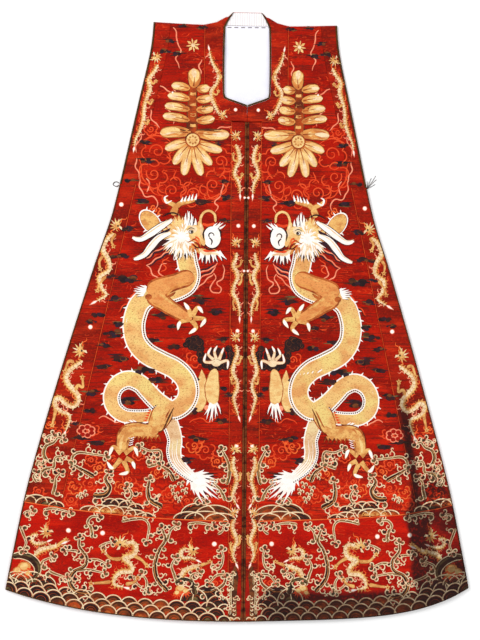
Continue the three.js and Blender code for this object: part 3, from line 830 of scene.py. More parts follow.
class Figures:
    """Flat strips of one silk that lie on the cloth, gathered into one piece."""

    def __init__(self, name, finish, slot="coloured_silk"):
        self.name, self.finish, self.slot = name, finish, slot
        self.points, self.heights, self.faces, self.count = [], [], [], 0

    def strip(self, path, width, lift=0.0, ends=(0.0, 0.0), columns=2, crown=0.03):
        """A strip along a path. width is a number, or one for each of a few places along it.
        ends are the lengths, in widths, over which it narrows at its start and its end."""
        path = np.array(path, float)
        run = np.concatenate([[0], np.cumsum(np.hypot(*np.diff(path, axis=0).T))])
        wide = np.interp(run / run[-1], np.linspace(0, 1, np.size(width)), np.ravel(width))
        for near, taper in ((run, ends[0]), (run[-1] - run, ends[1])):
            if taper:
                share = np.clip(near / (taper * np.max(wide)), 0.03, 1)
                wide = wide * np.sqrt(share * (2 - share))
        ahead = np.gradient(path, axis=0)
        ahead /= np.maximum(np.hypot(*ahead.T), 1e-6)[:, None]
        side = np.stack([-ahead[:, 1], ahead[:, 0]], 1)
        share = np.linspace(-1, 1, columns + 1)[None, :, None]
        points = path[:, None, :] + side[:, None, :] * share * wide[:, None, None] / 2
        rise = lift + np.minimum(crown * wide[:, None], CROWN_LIMIT) * (1 - share[..., 0] ** 2)
        self.add(points, rise)

    def add(self, points, rise):
        """A grid of (out, drop) points with their heights over the cloth."""
        rows, columns = points.shape[:2]
        index = self.count + np.arange(rows * columns).reshape(rows, columns)
        corners = (index[:-1, :-1], index[:-1, 1:], index[1:, 1:], index[1:, :-1])
        self.faces.append(np.stack(corners, -1).reshape(-1, 4))
        self.points.append(points.reshape(-1, 2))
        self.heights.append(np.broadcast_to(rise, (rows, columns)).ravel())
        self.count += rows * columns

    def disc(self, at, radius, lift=0.0, squash=1.0, turn=0.0, rings=2, sides=14, crown=0.1):
        """A round or oval patch."""
        bearing = np.linspace(0, 2 * math.pi, sides + 1)
        far = np.linspace(0.02, 1, rings + 1)[:, None]
        shape = np.stack([far * radius * np.cos(bearing), far * radius * squash * np.sin(bearing)], -1)
        self.add(turned(shape.reshape(-1, 2), at, turn).reshape(rings + 1, sides + 1, 2),
                 lift + crown * (1 - far**2) + 0 * bearing[None, :])

    def fan(self, at, rim, lift=0.0, rings=3, crown=0.3):
        """A patch that fills the outline rim, seen from a point inside it."""
        rim, at = np.array(rim, float), np.array(at, float)
        far = np.linspace(0.03, 1, rings + 1)[:, None, None]
        self.add(at + (rim[None] - at) * far, lift + crown * (1 - far[..., 0] ** 2))

    def sew(self):
        """Both halves as one mesh, thickened and laid on the cloth."""
        drawn, heights = trimmed(np.vstack(self.points)), np.concatenate(self.heights)
        faces = np.vstack(self.faces)
        x = np.concatenate([-drawn[:, 0], drawn[:, 0]])
        drop = np.concatenate([drawn[:, 1], drawn[:, 1]])
        z = cloth_top(x, drop) + BASE_LIFT + np.concatenate([heights, heights])
        mesh = bpy.data.meshes.new(self.name)
        points = np.stack([*laid(x, drop), z], 1) * MM
        both = np.vstack([faces, faces[:, ::-1] + len(drawn)])
        mesh.from_pydata(points.tolist(), [], both.tolist())
        piece = bpy.data.objects.new(self.name, mesh)
        bpy.context.collection.objects.link(piece)
        self.finish_mesh(piece)
        placed(piece, self.finish, self.slot)

    def finish_mesh(self, piece):
        """Joins the strips' own points, turns their faces up and gives them a rim."""
        only(piece)
        bpy.ops.object.mode_set(mode="EDIT")
        bpy.ops.mesh.select_all(action="SELECT")
        bpy.ops.mesh.remove_doubles(threshold=0.00001)
        bpy.ops.mesh.dissolve_degenerate(threshold=0.00001)
        bpy.ops.mesh.select_all(action="SELECT")
        bpy.ops.object.mode_set(mode="OBJECT")
        face_up(piece)
        bpy.ops.object.modifier_add(type="SOLIDIFY")
        wall = piece.modifiers[-1]
        wall.thickness, wall.offset = FIGURE_THICKNESS * MM, -1
        wall.use_rim_only = True
        bpy.ops.object.modifier_apply(modifier=wall.name)
        bpy.ops.object.shade_smooth_by_angle(angle=math.radians(50))


def face_up(piece):
    """Turns over each face that looks down."""
    for face in piece.data.polygons:
        face.select = face.normal.z < 0
    bpy.ops.object.mode_set(mode="EDIT")
    bpy.ops.mesh.select_mode(type="FACE")
    bpy.ops.mesh.flip_normals()
    bpy.ops.object.mode_set(mode="OBJECT")


lay_fronts()
lay_side_bands()
lay_armhole_bands()
lay_hem_bands()
lay_front_bands()
lay_neck_bands()
lay_seam_trim()
lay_back()
lay_neck_inside()


# The figures' silks. One lies over another only by the lift of each strip.
SILKS = (
    "gold", "pale_gold", "body_gold", "honey", "amber", "tan", "cream", "ivory", "white", "pink",
    "rose", "orange", "tangerine", "cherry", "rust", "russet", "umber", "olive", "brown", "navy",
    "black", "binding",
)
silks = {
    name: Figures(f"figures_{name}", name, "gold_thread" if "gold" in name else "coloured_silk")
    for name in SILKS
}


def stroke(silk, points, width, lift=0.0, ends=(0.0, 0.0), columns=2, crown=0.03):
    """A strip of one silk along a smooth line through a few points."""
    silks[silk].strip(line(points), width, lift, ends, columns, crown)


def beside(path, distance):
    """A path moved sideways: to its left when distance is above 0, as it is seen from above."""
    path = np.array(path, float)
    ahead = np.gradient(path, axis=0)
    ahead /= np.maximum(np.hypot(*ahead.T), 1e-6)[:, None]
    return path + np.stack([-ahead[:, 1], ahead[:, 0]], 1) * np.reshape(distance, (-1, 1))


def spots(path, gap):
    """Points a gap apart along a path, each with the path's direction there."""
    run = np.concatenate([[0], np.cumsum(np.hypot(*np.diff(path, axis=0).T))])
    ahead = np.gradient(path, axis=0)
    ahead /= np.maximum(np.hypot(*ahead.T), 1e-6)[:, None]
    for distance in np.arange(gap / 2, run[-1], gap):
        yield (np.array([np.interp(distance, run, path[:, k]) for k in (0, 1)]),
               np.array([np.interp(distance, run, ahead[:, k]) for k in (0, 1)]), distance / run[-1])


def widths_along(path, widths):
    """A few widths spread evenly over a path, read at each of its points."""
    return np.interp(np.linspace(0, 1, len(path)), np.linspace(0, 1, len(widths)), widths)


def locks(silk, root, tips, width, lift, bend=0.15):
    """Pointed locks of hair from about one place to each of several tips."""
    root = np.array(root, float)
    for i, tip in enumerate(np.array(tips, float)):
        reach = tip - root
        middle = root + reach * 0.5 + np.array([-reach[1], reach[0]]) * bend * (1 if i % 2 else -1)
        stroke(silk, [root, middle, tip], [width, width * 0.8, width * 0.45, 0.3], lift + 0.01 * i)


def spikes(silk, path, gap, length, width, lift, side=-1, lean=0.4):
    """Short spikes that stand out from one side of a path."""
    for at, ahead, _ in spots(path, gap):
        out = np.array([-ahead[1], ahead[0]]) * side
        tip = at + out * length + ahead * length * lean
        silks[silk].strip([at, (at + tip) / 2, tip], [width, width * 0.6, 0.4], lift)


def fringe(silk, roots, tips, count, width, lift, sway=1.6, shift=0.0):
    """Locks of hair side by side, from along one line to along another."""
    starts, ends = line(roots, 1.0), line(tips, 1.0)
    for k in range(count):
        share = (k + 0.5 + shift) / count
        root, tip = (rows[min(int(share * len(rows)), len(rows) - 1)] for rows in (starts, ends))
        tip = root + (tip - root) * (1 + 0.16 * math.sin(7.1 * k + count))
        middle = (root + tip) / 2 + np.array([sway, 0]) * (1 if k % 2 else -1)
        stroke(silk, [root, middle, tip], [width, width * 0.9, width * 0.55, 0.4], lift + 0.01 * (k % 3))


def fur(at, reach, bearings, count, shades, width, lift, squash=1.2):
    """Hair that spreads from round a point, in several shades and of uneven length."""
    rng = np.random.default_rng(5)
    for k, bearing in enumerate(np.linspace(*bearings, count)):
        near, far = reach[0] * (0.8 + 0.4 * rng.random()), reach[1] * (0.8 + 0.26 * rng.random())
        root, tip = (around(at, radius, bearing, squash) for radius in (near, far))
        middle = (root + tip) / 2 + rng.normal(size=2) * 1.2
        widths = [width, width * 0.9, width * 0.5, 0.4]
        stroke(shades[k % len(shades)], [root, middle, tip], widths, lift + 0.012 * (k % 5))


def ribbon(points, silk="pink", width=2.4, inner=None):
    """A thin fluttering flame line, with a second line beside it."""
    path = line(points, 2.5)
    run = np.concatenate([[0], np.cumsum(np.hypot(*np.diff(path, axis=0).T))])
    path = beside(path, 1.3 * np.sin(run / 4.2))
    silks[silk].strip(path, [width * 0.6, width, width * 0.8, width, width * 0.5], 0.1, (0, 2), columns=1)
    if inner:
        silks[inner].strip(beside(path, width * 1.2), [0.6, width * 1.2, width, 0.6], 0.06, columns=1)


def pearl(out, drop, radius):
    """A white pearl in a pink ring."""
    silks["pink"].disc((out, drop), radius + 0.8, 0.05, sides=12)
    silks["white"].disc((out, drop), radius * 0.88, 0.2, sides=12, crown=0.6)


def claw(root, knuckle, tip, width=9.0, lift=0.8, toe="pale_gold"):
    """A bent toe with a white nail that hooks to its point."""
    path = line([root, knuckle, tip], 2)
    wide = widths_along(path, [width, width * 0.8, width * 0.7, width * 0.4])
    silks["rust"].strip(path, wide + 1.6, lift - 0.06, (0, 0.5), columns=2, crown=0.02)
    silks[toe].strip(path, wide, lift + 0.06, (0, 0.5), columns=2)
    nail = path[int(len(path) * 0.5):]
    silks["white"].strip(nail, [width * 0.35, width * 0.7, width * 0.5, 0.4], lift + 0.2)


# ------------------------------------------------ the great dragon on each front

DRAGON_SPINE = [
    (130, 500), (125, 528), (119, 552), (126, 574), (148, 588), (176, 595), (205, 600), (226, 616),
    (237, 645), (239, 672), (232, 700), (212, 724), (180, 742), (150, 757), (128, 780), (121, 808),
    (131, 834), (156, 848), (184, 832), (207, 809), (224, 791), (249, 782), (273, 793), (285, 817),
    (280, 843), (260, 860), (233, 863), (200, 860), (182, 850),
]
DRAGON_WIDTHS = [40, 40, 38, 36, 36, 40, 43, 44, 44, 43, 43, 43, 43, 43, 42, 41, 41, 40, 38, 37, 37, 36,
                 34, 33, 30, 27, 26, 30]
TAIL_SPINE = [(172, 838), (165, 864), (155, 889), (149, 914), (151, 939), (145, 962), (124, 985),
              (104, 1000)]
TAIL_WIDTHS = [38, 34, 31, 28, 28, 26, 22, 16]


def scales(path, widths, size=7.0, lift=0.56):
    """Small stitches scattered over a body, in staggered rows."""
    rng = np.random.default_rng(3)
    for n, (at, ahead, share) in enumerate(spots(path, size * 0.8)):
        wide = np.interp(share, np.linspace(0, 1, np.size(widths)), widths) - 10
        side = np.array([-ahead[1], ahead[0]])
        count = int(wide // size)
        for k in range(count):
            off = (k - (count - 1) / 2 + (n % 2) * 0.5 - 0.25) * size
            middle = at + side * off + rng.normal(size=2) * 1.2
            reach = side * size * (0.1 + 0.16 * rng.random())
            silks["tan"].strip([middle - reach, middle + ahead, middle + reach], 0.8, lift, columns=1,
                               crown=0)


def dragon_body():
    """The coiled body and the tail, each with an outline, stitches, a beaded belly and spikes."""
    for spine, widths, base, belly in (
        (DRAGON_SPINE, DRAGON_WIDTHS, "body_gold", 1), (TAIL_SPINE, TAIL_WIDTHS, "ivory", -1),
    ):
        path = line(spine)
        wide = widths_along(path, widths)
        silks["russet"].strip(path, wide + 3.4, 0.14, (0, 0.3), columns=8, crown=0.01)
        silks["white"].strip(beside(path, -wide * 0.06 * belly), wide * 0.9 + 3.2, 0.2, columns=8,
                             crown=0.02)
        silks[base].strip(path, wide - 1.8, 0.46, (0, 0.3), columns=8, crown=0.02)
        silks["white"].strip(beside(path, wide * 0.42 * belly), 3.2, 0.62, columns=1, crown=0.02)
        silks["white"].strip(beside(path, wide * 0.54 * belly), 2.6, 0.5, columns=1, crown=0.02)
        for at, ahead, _ in spots(beside(path, wide * 0.48 * belly), 4.8):
            silks["black"].strip([at - ahead * 1.2, at, at + ahead * 1.2], 2.6, 0.78, columns=1)
        spikes("white", beside(path, (1 - wide * 0.5) * belly), 21, 9, 5, 0.22, side=-belly)
        scales(path, wide)


def limb(points, widths, lift=0.9, silk="gold", edge="rust", rim=3.6, ends=(0.4, 0.4)):
    """A tapered limb over its darker outline."""
    path = line(points)
    wide = widths_along(path, widths)
    silks[edge].strip(path, wide + rim, lift - 0.14, ends, columns=6, crown=0.02)
    silks[silk].strip(path, wide, lift, ends, columns=6, crown=0.02)


def joined_limbs(parts, lift, silk, edge="rust", rim=3.6):
    """Limbs that run into each other: all their outlines lie under all their fills."""
    for points, widths in parts:
        limb(points, widths, lift, silk, edge, rim)
        stroke(silk, points, widths, lift + 0.1, (0.4, 0.4), columns=6, crown=0.02)


def dragon_arm():
    joined_limbs([
        ([(110, 555), (128, 558), (150, 566), (172, 574), (190, 584), (205, 598)], [27, 30, 28, 32, 40, 34]),
        ([(205, 588), (190, 602), (170, 617), (148, 631), (130, 641), (115, 648)], [32, 34, 27, 25, 20, 15]),
    ], 0.92, "honey", "russet", 8.5)
    for silk, points in (
        ("amber", [(112, 566), (140, 573), (160, 584), (166, 600), (150, 616)]),
        ("amber", [(200, 612), (178, 624), (156, 640)]), ("gold", [(128, 550), (152, 558), (176, 568)]),
        ("gold", [(186, 592), (164, 608), (142, 625)]), ("russet", [(150, 588), (160, 596), (172, 600)]),
    ):
        stroke(silk, points, [1.5, 6, 5, 1.5], 1.1, (0.5, 0.5), columns=1)
    silks["russet"].disc((208, 600), 7.5, 1.14, 0.85)
    for root, knuckle, tip in (
        ((118, 644), (121, 628), (132, 611)), ((114, 640), (102, 622), (91, 634)),
        ((112, 645), (88, 648), (97, 665)), ((120, 648), (140, 655), (145, 672)),
        ((115, 650), (106, 666), (121, 680)),
    ):
        claw(root, knuckle, tip, 11.5, 0.98, "gold")
    fringe("white", [(212, 579), (214, 588), (219, 597)], [(226, 573), (237, 585), (234, 601)], 6, 4.6, 1.1)
    fringe("brown", [(213, 582), (216, 590), (219, 596)], [(228, 576), (236, 586), (232, 600)], 5, 2.6,
           1.04, shift=0.5)


PAW_SMOKE = [
    # out, drop, radius of each puff
    (120, 696, 9), (110, 694, 11), (100, 700, 12), (108, 710, 8), (97, 712, 10), (96, 724, 9),
    (93, 736, 10), (84, 746, 10), (72, 752, 9), (56, 752, 8), (42, 748, 11), (33, 738, 9), (31, 724, 9),
    (36, 712, 8), (128, 704, 6), (116, 708, 8), (104, 688, 6), (86, 732, 9),
]


def dragon_near_leg():
    """The leg towards the front edge, with a black smoke round its raised paw."""
    for k, (out, drop, radius) in enumerate(PAW_SMOKE):
        silks["black"].disc((out, drop), radius, 0.2 + 0.03 * (k % 2), sides=12, rings=1, crown=0.02)
        puff = arc((out, drop), (radius * 0.7, radius * 0.3), 60 * k, 60 * k + 240)
        silks["umber"].strip(puff, 0.7, 0.3, columns=1, crown=0)
    limb([(118, 844), (104, 830), (96, 808), (92, 784), (93, 758)], [44, 38, 30, 17, 3], 0.12,
         "pale_gold", "russet")
    limb([(67, 836), (70, 812), (70, 792), (68, 774), (64, 756)], [18, 27, 30, 22, 15], 0.6, "pale_gold",
         "russet")
    silks["black"].disc((62, 728), 21, 0.8, 0.9, crown=0.1)
    silks["cream"].disc((62, 743), 10, 0.95, 0.8, crown=0.3)
    for root, knuckle, tip in (
        ((68, 742), (87, 740), (84, 722)), ((68, 736), (79, 724), (73, 709)),
        ((62, 735), (66, 718), (60, 705)), ((56, 736), (51, 722), (46, 709)),
        ((56, 743), (38, 738), (38, 756)),
    ):
        claw(root, knuckle, tip, 7.0, 0.98, "cream")
    fringe("brown", [(74, 832), (67, 836), (60, 832)], [(84, 852), (68, 868), (50, 854)], 5, 2.6, 0.88,
           shift=0.5)
    fringe("white", [(74, 830), (67, 834), (60, 830)], [(88, 852), (70, 872), (48, 856)], 7, 4.6, 0.92)
    silks["pink"].disc((81, 842), 6, 0.5, crown=0.6)


def dragon_far_leg():
    """The leg towards the side seam, with its foot spread out."""
    joined_limbs([
        ([(167, 838), (176, 856), (187, 876), (204, 890)], [32, 43, 38, 26]),
        ([(184, 892), (211, 893), (238, 891), (255, 898), (262, 916), (262, 940)], [22, 25, 28, 26, 21, 20]),
    ], 0.86, "gold", rim=4.6)
    stroke("body_gold", [(164, 836), (175, 854), (186, 872), (197, 884)], [32, 42, 37, 18], 1.0, (0.5, 0.9),
           columns=6)
    for silk, gap, length, width in (("amber", 9, 9, 8), ("gold", 6.5, 6, 7)):
        spikes(silk, line([(184, 902), (212, 903), (238, 902), (250, 910)]), gap, length, width, 0.8,
               side=1, lean=0.1)
    spikes("rust", line([(180, 903), (212, 905), (240, 904)]), 9, 14, 6, 0.7, side=1, lean=-0.3)
    spikes("orange", line([(200, 846), (206, 862), (212, 876)]), 6, 7, 5, 0.7, side=-1)
    for points, silk in (([(152, 842), (163, 865), (171, 884), (181, 898)], "umber"),
                         ([(160, 846), (170, 866), (180, 884)], "russet"),
                         ([(250, 884), (262, 888), (270, 904)], "russet"),
                         ([(244, 908), (250, 926), (250, 944)], "tan")):
        stroke(silk, points, [1, 4, 3.4, 1], 1.12, columns=1)
    stroke("pale_gold", [(258, 902), (264, 918), (265, 936)], [2, 7, 5], 1.06, (1, 1), columns=2)
    stroke("amber", [(206, 884), (226, 882), (246, 886), (254, 896)], [2, 5, 5, 2], 1.06, (1, 1), columns=2)
    for root, knuckle, tip in (
        ((264, 944), (280, 930), (290, 950)), ((264, 956), (282, 976), (294, 962)),
        ((256, 944), (236, 932), (228, 950)), ((258, 960), (250, 984), (268, 990)),
        ((254, 954), (240, 962), (234, 978)),
    ):
        claw(root, knuckle, tip, 11, 0.9, "gold")
    fringe("white", [(226, 882), (234, 879), (242, 880)], [(240, 868), (248, 868), (254, 876)], 4, 4.5, 0.6)
    for k in range(4):
        silks["white"].strip([(236 + k, 908 + 5 * k), (242 + k, 911 + 5 * k), (248, 910 + 5 * k)], 1.6,
                             1.0, columns=1)


def dragon_horns():
    """The forked horns, with a white fringe on one and a black line at their root."""
    limb([(158, 420), (154, 410), (150, 400)], [17, 14, 13], 0.56, "gold")
    limb([(149, 402), (158, 396), (168, 392), (172, 384)], [11, 9, 7, 4], 0.58, "gold")
    stroke("white", [(160, 388), (171, 393), (175, 382), (168, 377)], [2, 4, 5, 1], 0.9)
    limb([(150, 402), (142, 394), (128, 390), (110, 386)], [11, 10, 9, 7], 0.58, "gold")
    fringe("white", [(143, 391), (126, 388), (107, 385)], [(138, 378), (122, 375), (104, 373)], 5, 4.6,
           0.9, 0.4)
    stroke("black", [(180, 424), (168, 417), (155, 415), (141, 421)], [1, 3.4, 3.4, 1.2], 0.98, columns=1)


def dragon_ear():
    """The fringed ear, and two long white horns that sweep back under it."""
    for size, silk, lift in ((1.0, "white", 0.5), (0.9, "russet", 0.6), (0.86, "gold", 0.7)):
        silks[silk].disc((205, 436), 32 * size, lift, 0.62, -52, rings=4, sides=24, crown=0.1)
    rim = turned(arc((0, 0), 30, 10, 260, 0.62), (205, 436), -52)
    spikes("white", rim, 14, 8, 4, 0.5, side=1, lean=0.1)
    stroke("navy", [(158, 470), (182, 482), (200, 498), (216, 516)], [6, 9, 7, 2], 0.8)
    stroke("navy", [(158, 448), (184, 462), (206, 474)], [4, 7, 3], 0.8)
    for points in ([(158, 430), (184, 446), (206, 462), (226, 474), (244, 471)],
                   [(160, 458), (186, 470), (204, 490), (218, 508), (240, 519)]):
        stroke("brown", points, [8, 16, 18, 14, 9], 0.88, (0.4, 0.8), columns=4, crown=0.04)
        stroke("white", points, [6, 13, 15, 11, 8], 1.04, (0.4, 0.8), columns=4, crown=0.04)
        silks["cream"].strip(beside(line(points), -3.4), [1, 2.4, 2.4, 1], 1.2, columns=1)


def dragon_face():
    """The round head: mane, brow, white cheek, the coloured lines at the mouth, and the eye."""
    silks["rust"].disc((140, 466), 37, 0.6, 1.22, rings=4, sides=28, crown=0.05)
    fur((142, 466), (16, 42), (-125, 100), 34, ("amber", "pale_gold", "gold", "cream", "pale_gold"), 9.5,
        0.66)
    fur((138, 466), (26, 43), (-135, -28), 19, ("navy",), 4.0, 0.8, 1.28)
    fur((138, 464), (18, 44), (-138, -24), 22, ("white", "white", "cream"), 6.2, 0.88, 1.24)
    silks["pale_gold"].disc((136, 462), 29, 0.96, 1.12, rings=3, sides=24, crown=0.05)
    fringe("white", [(132, 446), (121, 441), (110, 446)], [(134, 428), (122, 410), (107, 426)], 7, 6.4, 1.02)
    fringe("navy", [(128, 444), (120, 440), (112, 446)], [(129, 428), (121, 418), (111, 428)], 4, 1.4,
           1.12, shift=0.5)
    fur((138, 468), (10, 34), (-200, -10), 26, ("white", "white", "cream"), 8, 1.1, 1.0)
    fur((138, 464), (8, 25), (-10, 160), 18, ("cream", "white", "pale_gold"), 7, 1.1, 1.1)
    silks["white"].disc((137, 468), 17, 1.2, 1.12, rings=3, sides=20, crown=0.05)
    for k in range(5):
        lock = [(132 + 6 * k, 476 + 3 * (k % 2)), (136 + 5 * k, 484), (136 + 6 * k, 493)]
        stroke("cream", lock, [0.8, 2, 0.6], 1.34, columns=1)
    silks["pale_gold"].disc((109, 460), 14, 1.26, 1.4, rings=3, sides=18, crown=0.1)
    silks["cream"].disc((114, 450), 9, 1.36, 0.9, crown=0.1)
    fringe("amber", [(100, 472), (110, 480), (120, 488)], [(96, 494), (108, 500), (122, 503)], 6, 6, 1.32)
    for silk, points in (("orange", [(116, 471), (107, 474), (101, 480)]),
                         ("rust", [(113, 477), (105, 482), (99, 489)]),
                         ("tangerine", [(110, 466), (103, 470), (99, 476)]),
                         ("orange", [(118, 481), (110, 487), (103, 494)]),
                         ("cherry", [(108, 478), (101, 484), (97, 492)])):
        stroke(silk, points, [1.5, 4.5, 3.6, 1.5], 1.42, (0.4, 0.8))
    stroke("russet", [(126, 479), (116, 475), (106, 468)], [1, 3.4, 1.5], 1.5)
    stroke("brown", [(115, 482), (106, 490), (97, 491)], [1, 3.4, 1], 1.56)
    # the eye
    silks["olive"].disc((118, 456), 5.4, 1.5, 0.85)
    silks["white"].disc((118, 456), 3.6, 1.7, 0.85)
    silks["black"].disc((117, 456), 2.5, 2.1)
    stroke("black", [(110, 450), (118, 447), (126, 451)], [0.8, 2, 0.8], 1.6)


def dragon_muzzle():
    """The snout: its curled tip, a round white side with black lines, the jaw and the beard."""
    ring = line([(97, 442), (98, 427), (92, 414), (80, 409), (68, 417), (66, 434)])
    silks["russet"].strip(ring, 6.4, 0.9, (0.3, 0.3), columns=2)
    silks["pale_gold"].strip(ring, 4.8, 1.0, (0.3, 0.3), columns=2)
    stroke("orange", [(94, 438), (82, 441), (68, 437)], [5, 7, 5], 0.96, columns=2)
    fringe("white", [(76, 448), (66, 446), (58, 450)], [(70, 437), (56, 434), (44, 442)], 5, 4.6, 1.1)
    stroke("pale_gold", [(101, 432), (97, 450), (95, 467), (90, 486)], [8, 12, 12, 8], 1.44, (0.5, 0.5),
           columns=3)
    stroke("cream", [(99, 436), (96, 450), (95, 464)], [3, 6, 3], 1.56, (0.5, 0.5), columns=2)
    silks["brown"].disc((74, 467), 20, 1.12, 1.25, rings=2, sides=24, crown=0.1)
    silks["white"].disc((73, 467), 18.5, 1.24, 1.28, rings=3, sides=24, crown=0.5)
    stroke("black", [(90, 450), (92, 461), (90, 474)], [1, 4, 1], 2.0)
    stroke("black", [(60, 446), (55, 455), (55, 466)], [1, 3.4, 1], 1.9)
    silks["black"].strip(arc((75, 463), (6, 5), 190, -40), [1.4, 2.6, 2.6], 2.0, columns=1)
    stroke("black", [(79, 468), (73, 475), (75, 484)], [2.6, 3.2, 1.2], 2.0, columns=1)
    stroke("gold", [(106, 492), (92, 500), (74, 498), (56, 503)], [10, 15, 12, 8], 1.0, (0.5, 0.5),
           columns=4)
    stroke("orange", [(96, 500), (82, 496), (66, 497)], [3, 8, 3], 1.2)
    stroke("black", [(92, 488), (80, 494), (62, 490)], [1.4, 3.8, 1.4], 1.6)
    fringe("navy", [(96, 502), (77, 503), (56, 500)], [(101, 519), (76, 531), (42, 516)], 8, 5, 1.05,
           shift=0.45)
    fringe("white", [(97, 499), (77, 500), (56, 497)], [(104, 514), (77, 528), (40, 511)], 8, 6.4, 1.12)
    stroke("cream", [(102, 493), (88, 503), (74, 502), (58, 505)], [4, 7, 6, 3], 1.3, (0.5, 0.5), columns=2)


def dragon_tail_tuft():
    """White streaks down the tail, and its tuft of white locks over navy ones."""
    tail = line(TAIL_SPINE)
    for off, start in ((-8, 0.62), (-4, 0.46), (0.5, 0.56), (5, 0.42), (9, 0.66)):
        silks["white"].strip(beside(tail, off)[int(len(tail) * start):-2], [0.4, 1.6, 2.6, 4.4], 0.6,
                             columns=1)
    tips = [(86, 978), (76, 984), (66, 989), (62, 998), (55, 1005), (60, 1014), (52, 1023), (57, 1033),
            (54, 1043), (68, 1040), (70, 1051), (82, 1044), (88, 1052), (96, 1040), (106, 1034),
            (114, 1024), (124, 1014)]
    silks["navy"].disc((102, 1000), 16, 0.3, 0.85, 40, rings=3, sides=18)
    inner_tips = [(np.array(tip) - (102, 1002)) * 0.9 + (104, 1004) for tip in tips[1::2]]
    locks("navy", (108, 996), inner_tips, 7, 0.34, 0.06)
    locks("white", (112, 992), tips, 11, 0.5, 0.05)
    silks["white"].disc((104, 998), 15, 0.7, 0.85, 40, rings=3, sides=18)


RIBBONS = [
    # silk, its points, and the silk of a second line beside it
    ("pink", [(230, 338), (228, 360), (218, 378), (199, 381), (190, 390), (194, 406)], None),
    ("pink", [(215, 340), (207, 355), (215, 370)], None),
    ("pink", [(51, 346), (54, 370), (67, 390), (62, 400), (66, 413)], None),
    ("pink", [(154, 490), (174, 492), (194, 499), (207, 511), (217, 517)], "navy"),
    ("pink", [(152, 498), (174, 504), (187, 513), (201, 523), (213, 532)], "navy"),
    ("pink", [(213, 531), (203, 541), (198, 553), (187, 558), (177, 555), (187, 544), (181, 530),
              (169, 526)], None),
    ("orange", [(166, 512), (178, 522), (172, 536), (182, 546)], None),
    ("pink", [(104, 582), (94, 570), (80, 557), (69, 546)], None),
    ("pink", [(69, 546), (65, 560), (77, 576), (70, 587), (57, 590), (54, 579), (61, 566), (47, 552),
              (49, 526)], None),
    ("pink", [(102, 551), (91, 541), (75, 537), (61, 522)], "navy"),
    ("pink", [(98, 560), (86, 549), (72, 545), (66, 530)], "navy"),
    ("orange", [(236, 585), (244, 599), (248, 611), (262, 621), (273, 634)], "brown"),
    ("rust", [(233, 599), (238, 612), (244, 621), (252, 628)], None),
    ("pink", [(312, 868), (297, 863), (280, 875), (265, 873)], None),
    ("orange", [(118, 875), (98, 864), (78, 873), (59, 863)], None),
    ("pink", [(160, 10), (152, 24), (152, 41), (143, 58), (153, 78), (145, 98)], None),
    ("pink", [(98, 78), (104, 90), (100, 105), (112, 122)], None),
    ("pink", [(187, 138), (168, 148), (153, 158), (161, 134)], None),
    ("pink", [(206, 190), (206, 205), (199, 217), (186, 228)], None),
    ("pink", [(176, 186), (159, 200), (157, 220)], None),
    ("pink", [(64, 229), (49, 224), (32, 225)], None),
    ("pink", [(236, 296), (238, 312), (232, 328), (229, 340)], None),
    ("pink", [(226, 246), (232, 262), (240, 272), (236, 284)], None),
]


def ribbons():
    for silk, points, inner in RIBBONS:
        ribbon(points, silk, 3.0, inner)


# ------------------------------------------------ small dragons

def flamelet(silk, root, ahead, length, lift=0.08):
    """A short wavering flame."""
    side = np.array([-ahead[1], ahead[0]])
    path = line([root, root + ahead * length * 0.35 + side * length * 0.16,
                 root + ahead * length * 0.7 - side * length * 0.12, root + ahead * length], 3)
    silks[silk].strip(path, [2.6, 2.4, 2.0, 0.6], lift, columns=1)


def paw(at, size, lift):
    """A small clawed foot, with its toes spread like a star."""
    for k in range(5):
        root, tip = (around(at, reach, 72 * k + 20) for reach in (size * 0.5, size * 1.7))
        silks["gold"].strip([root, (root + tip) / 2, tip], [2.6, 2.2, 0.6], lift, columns=1)
    silks["gold"].disc(at, size, lift + 0.1, sides=10, rings=1)
    silks["cherry"].disc(at, size * 0.36, lift + 0.24, sides=7, rings=1)


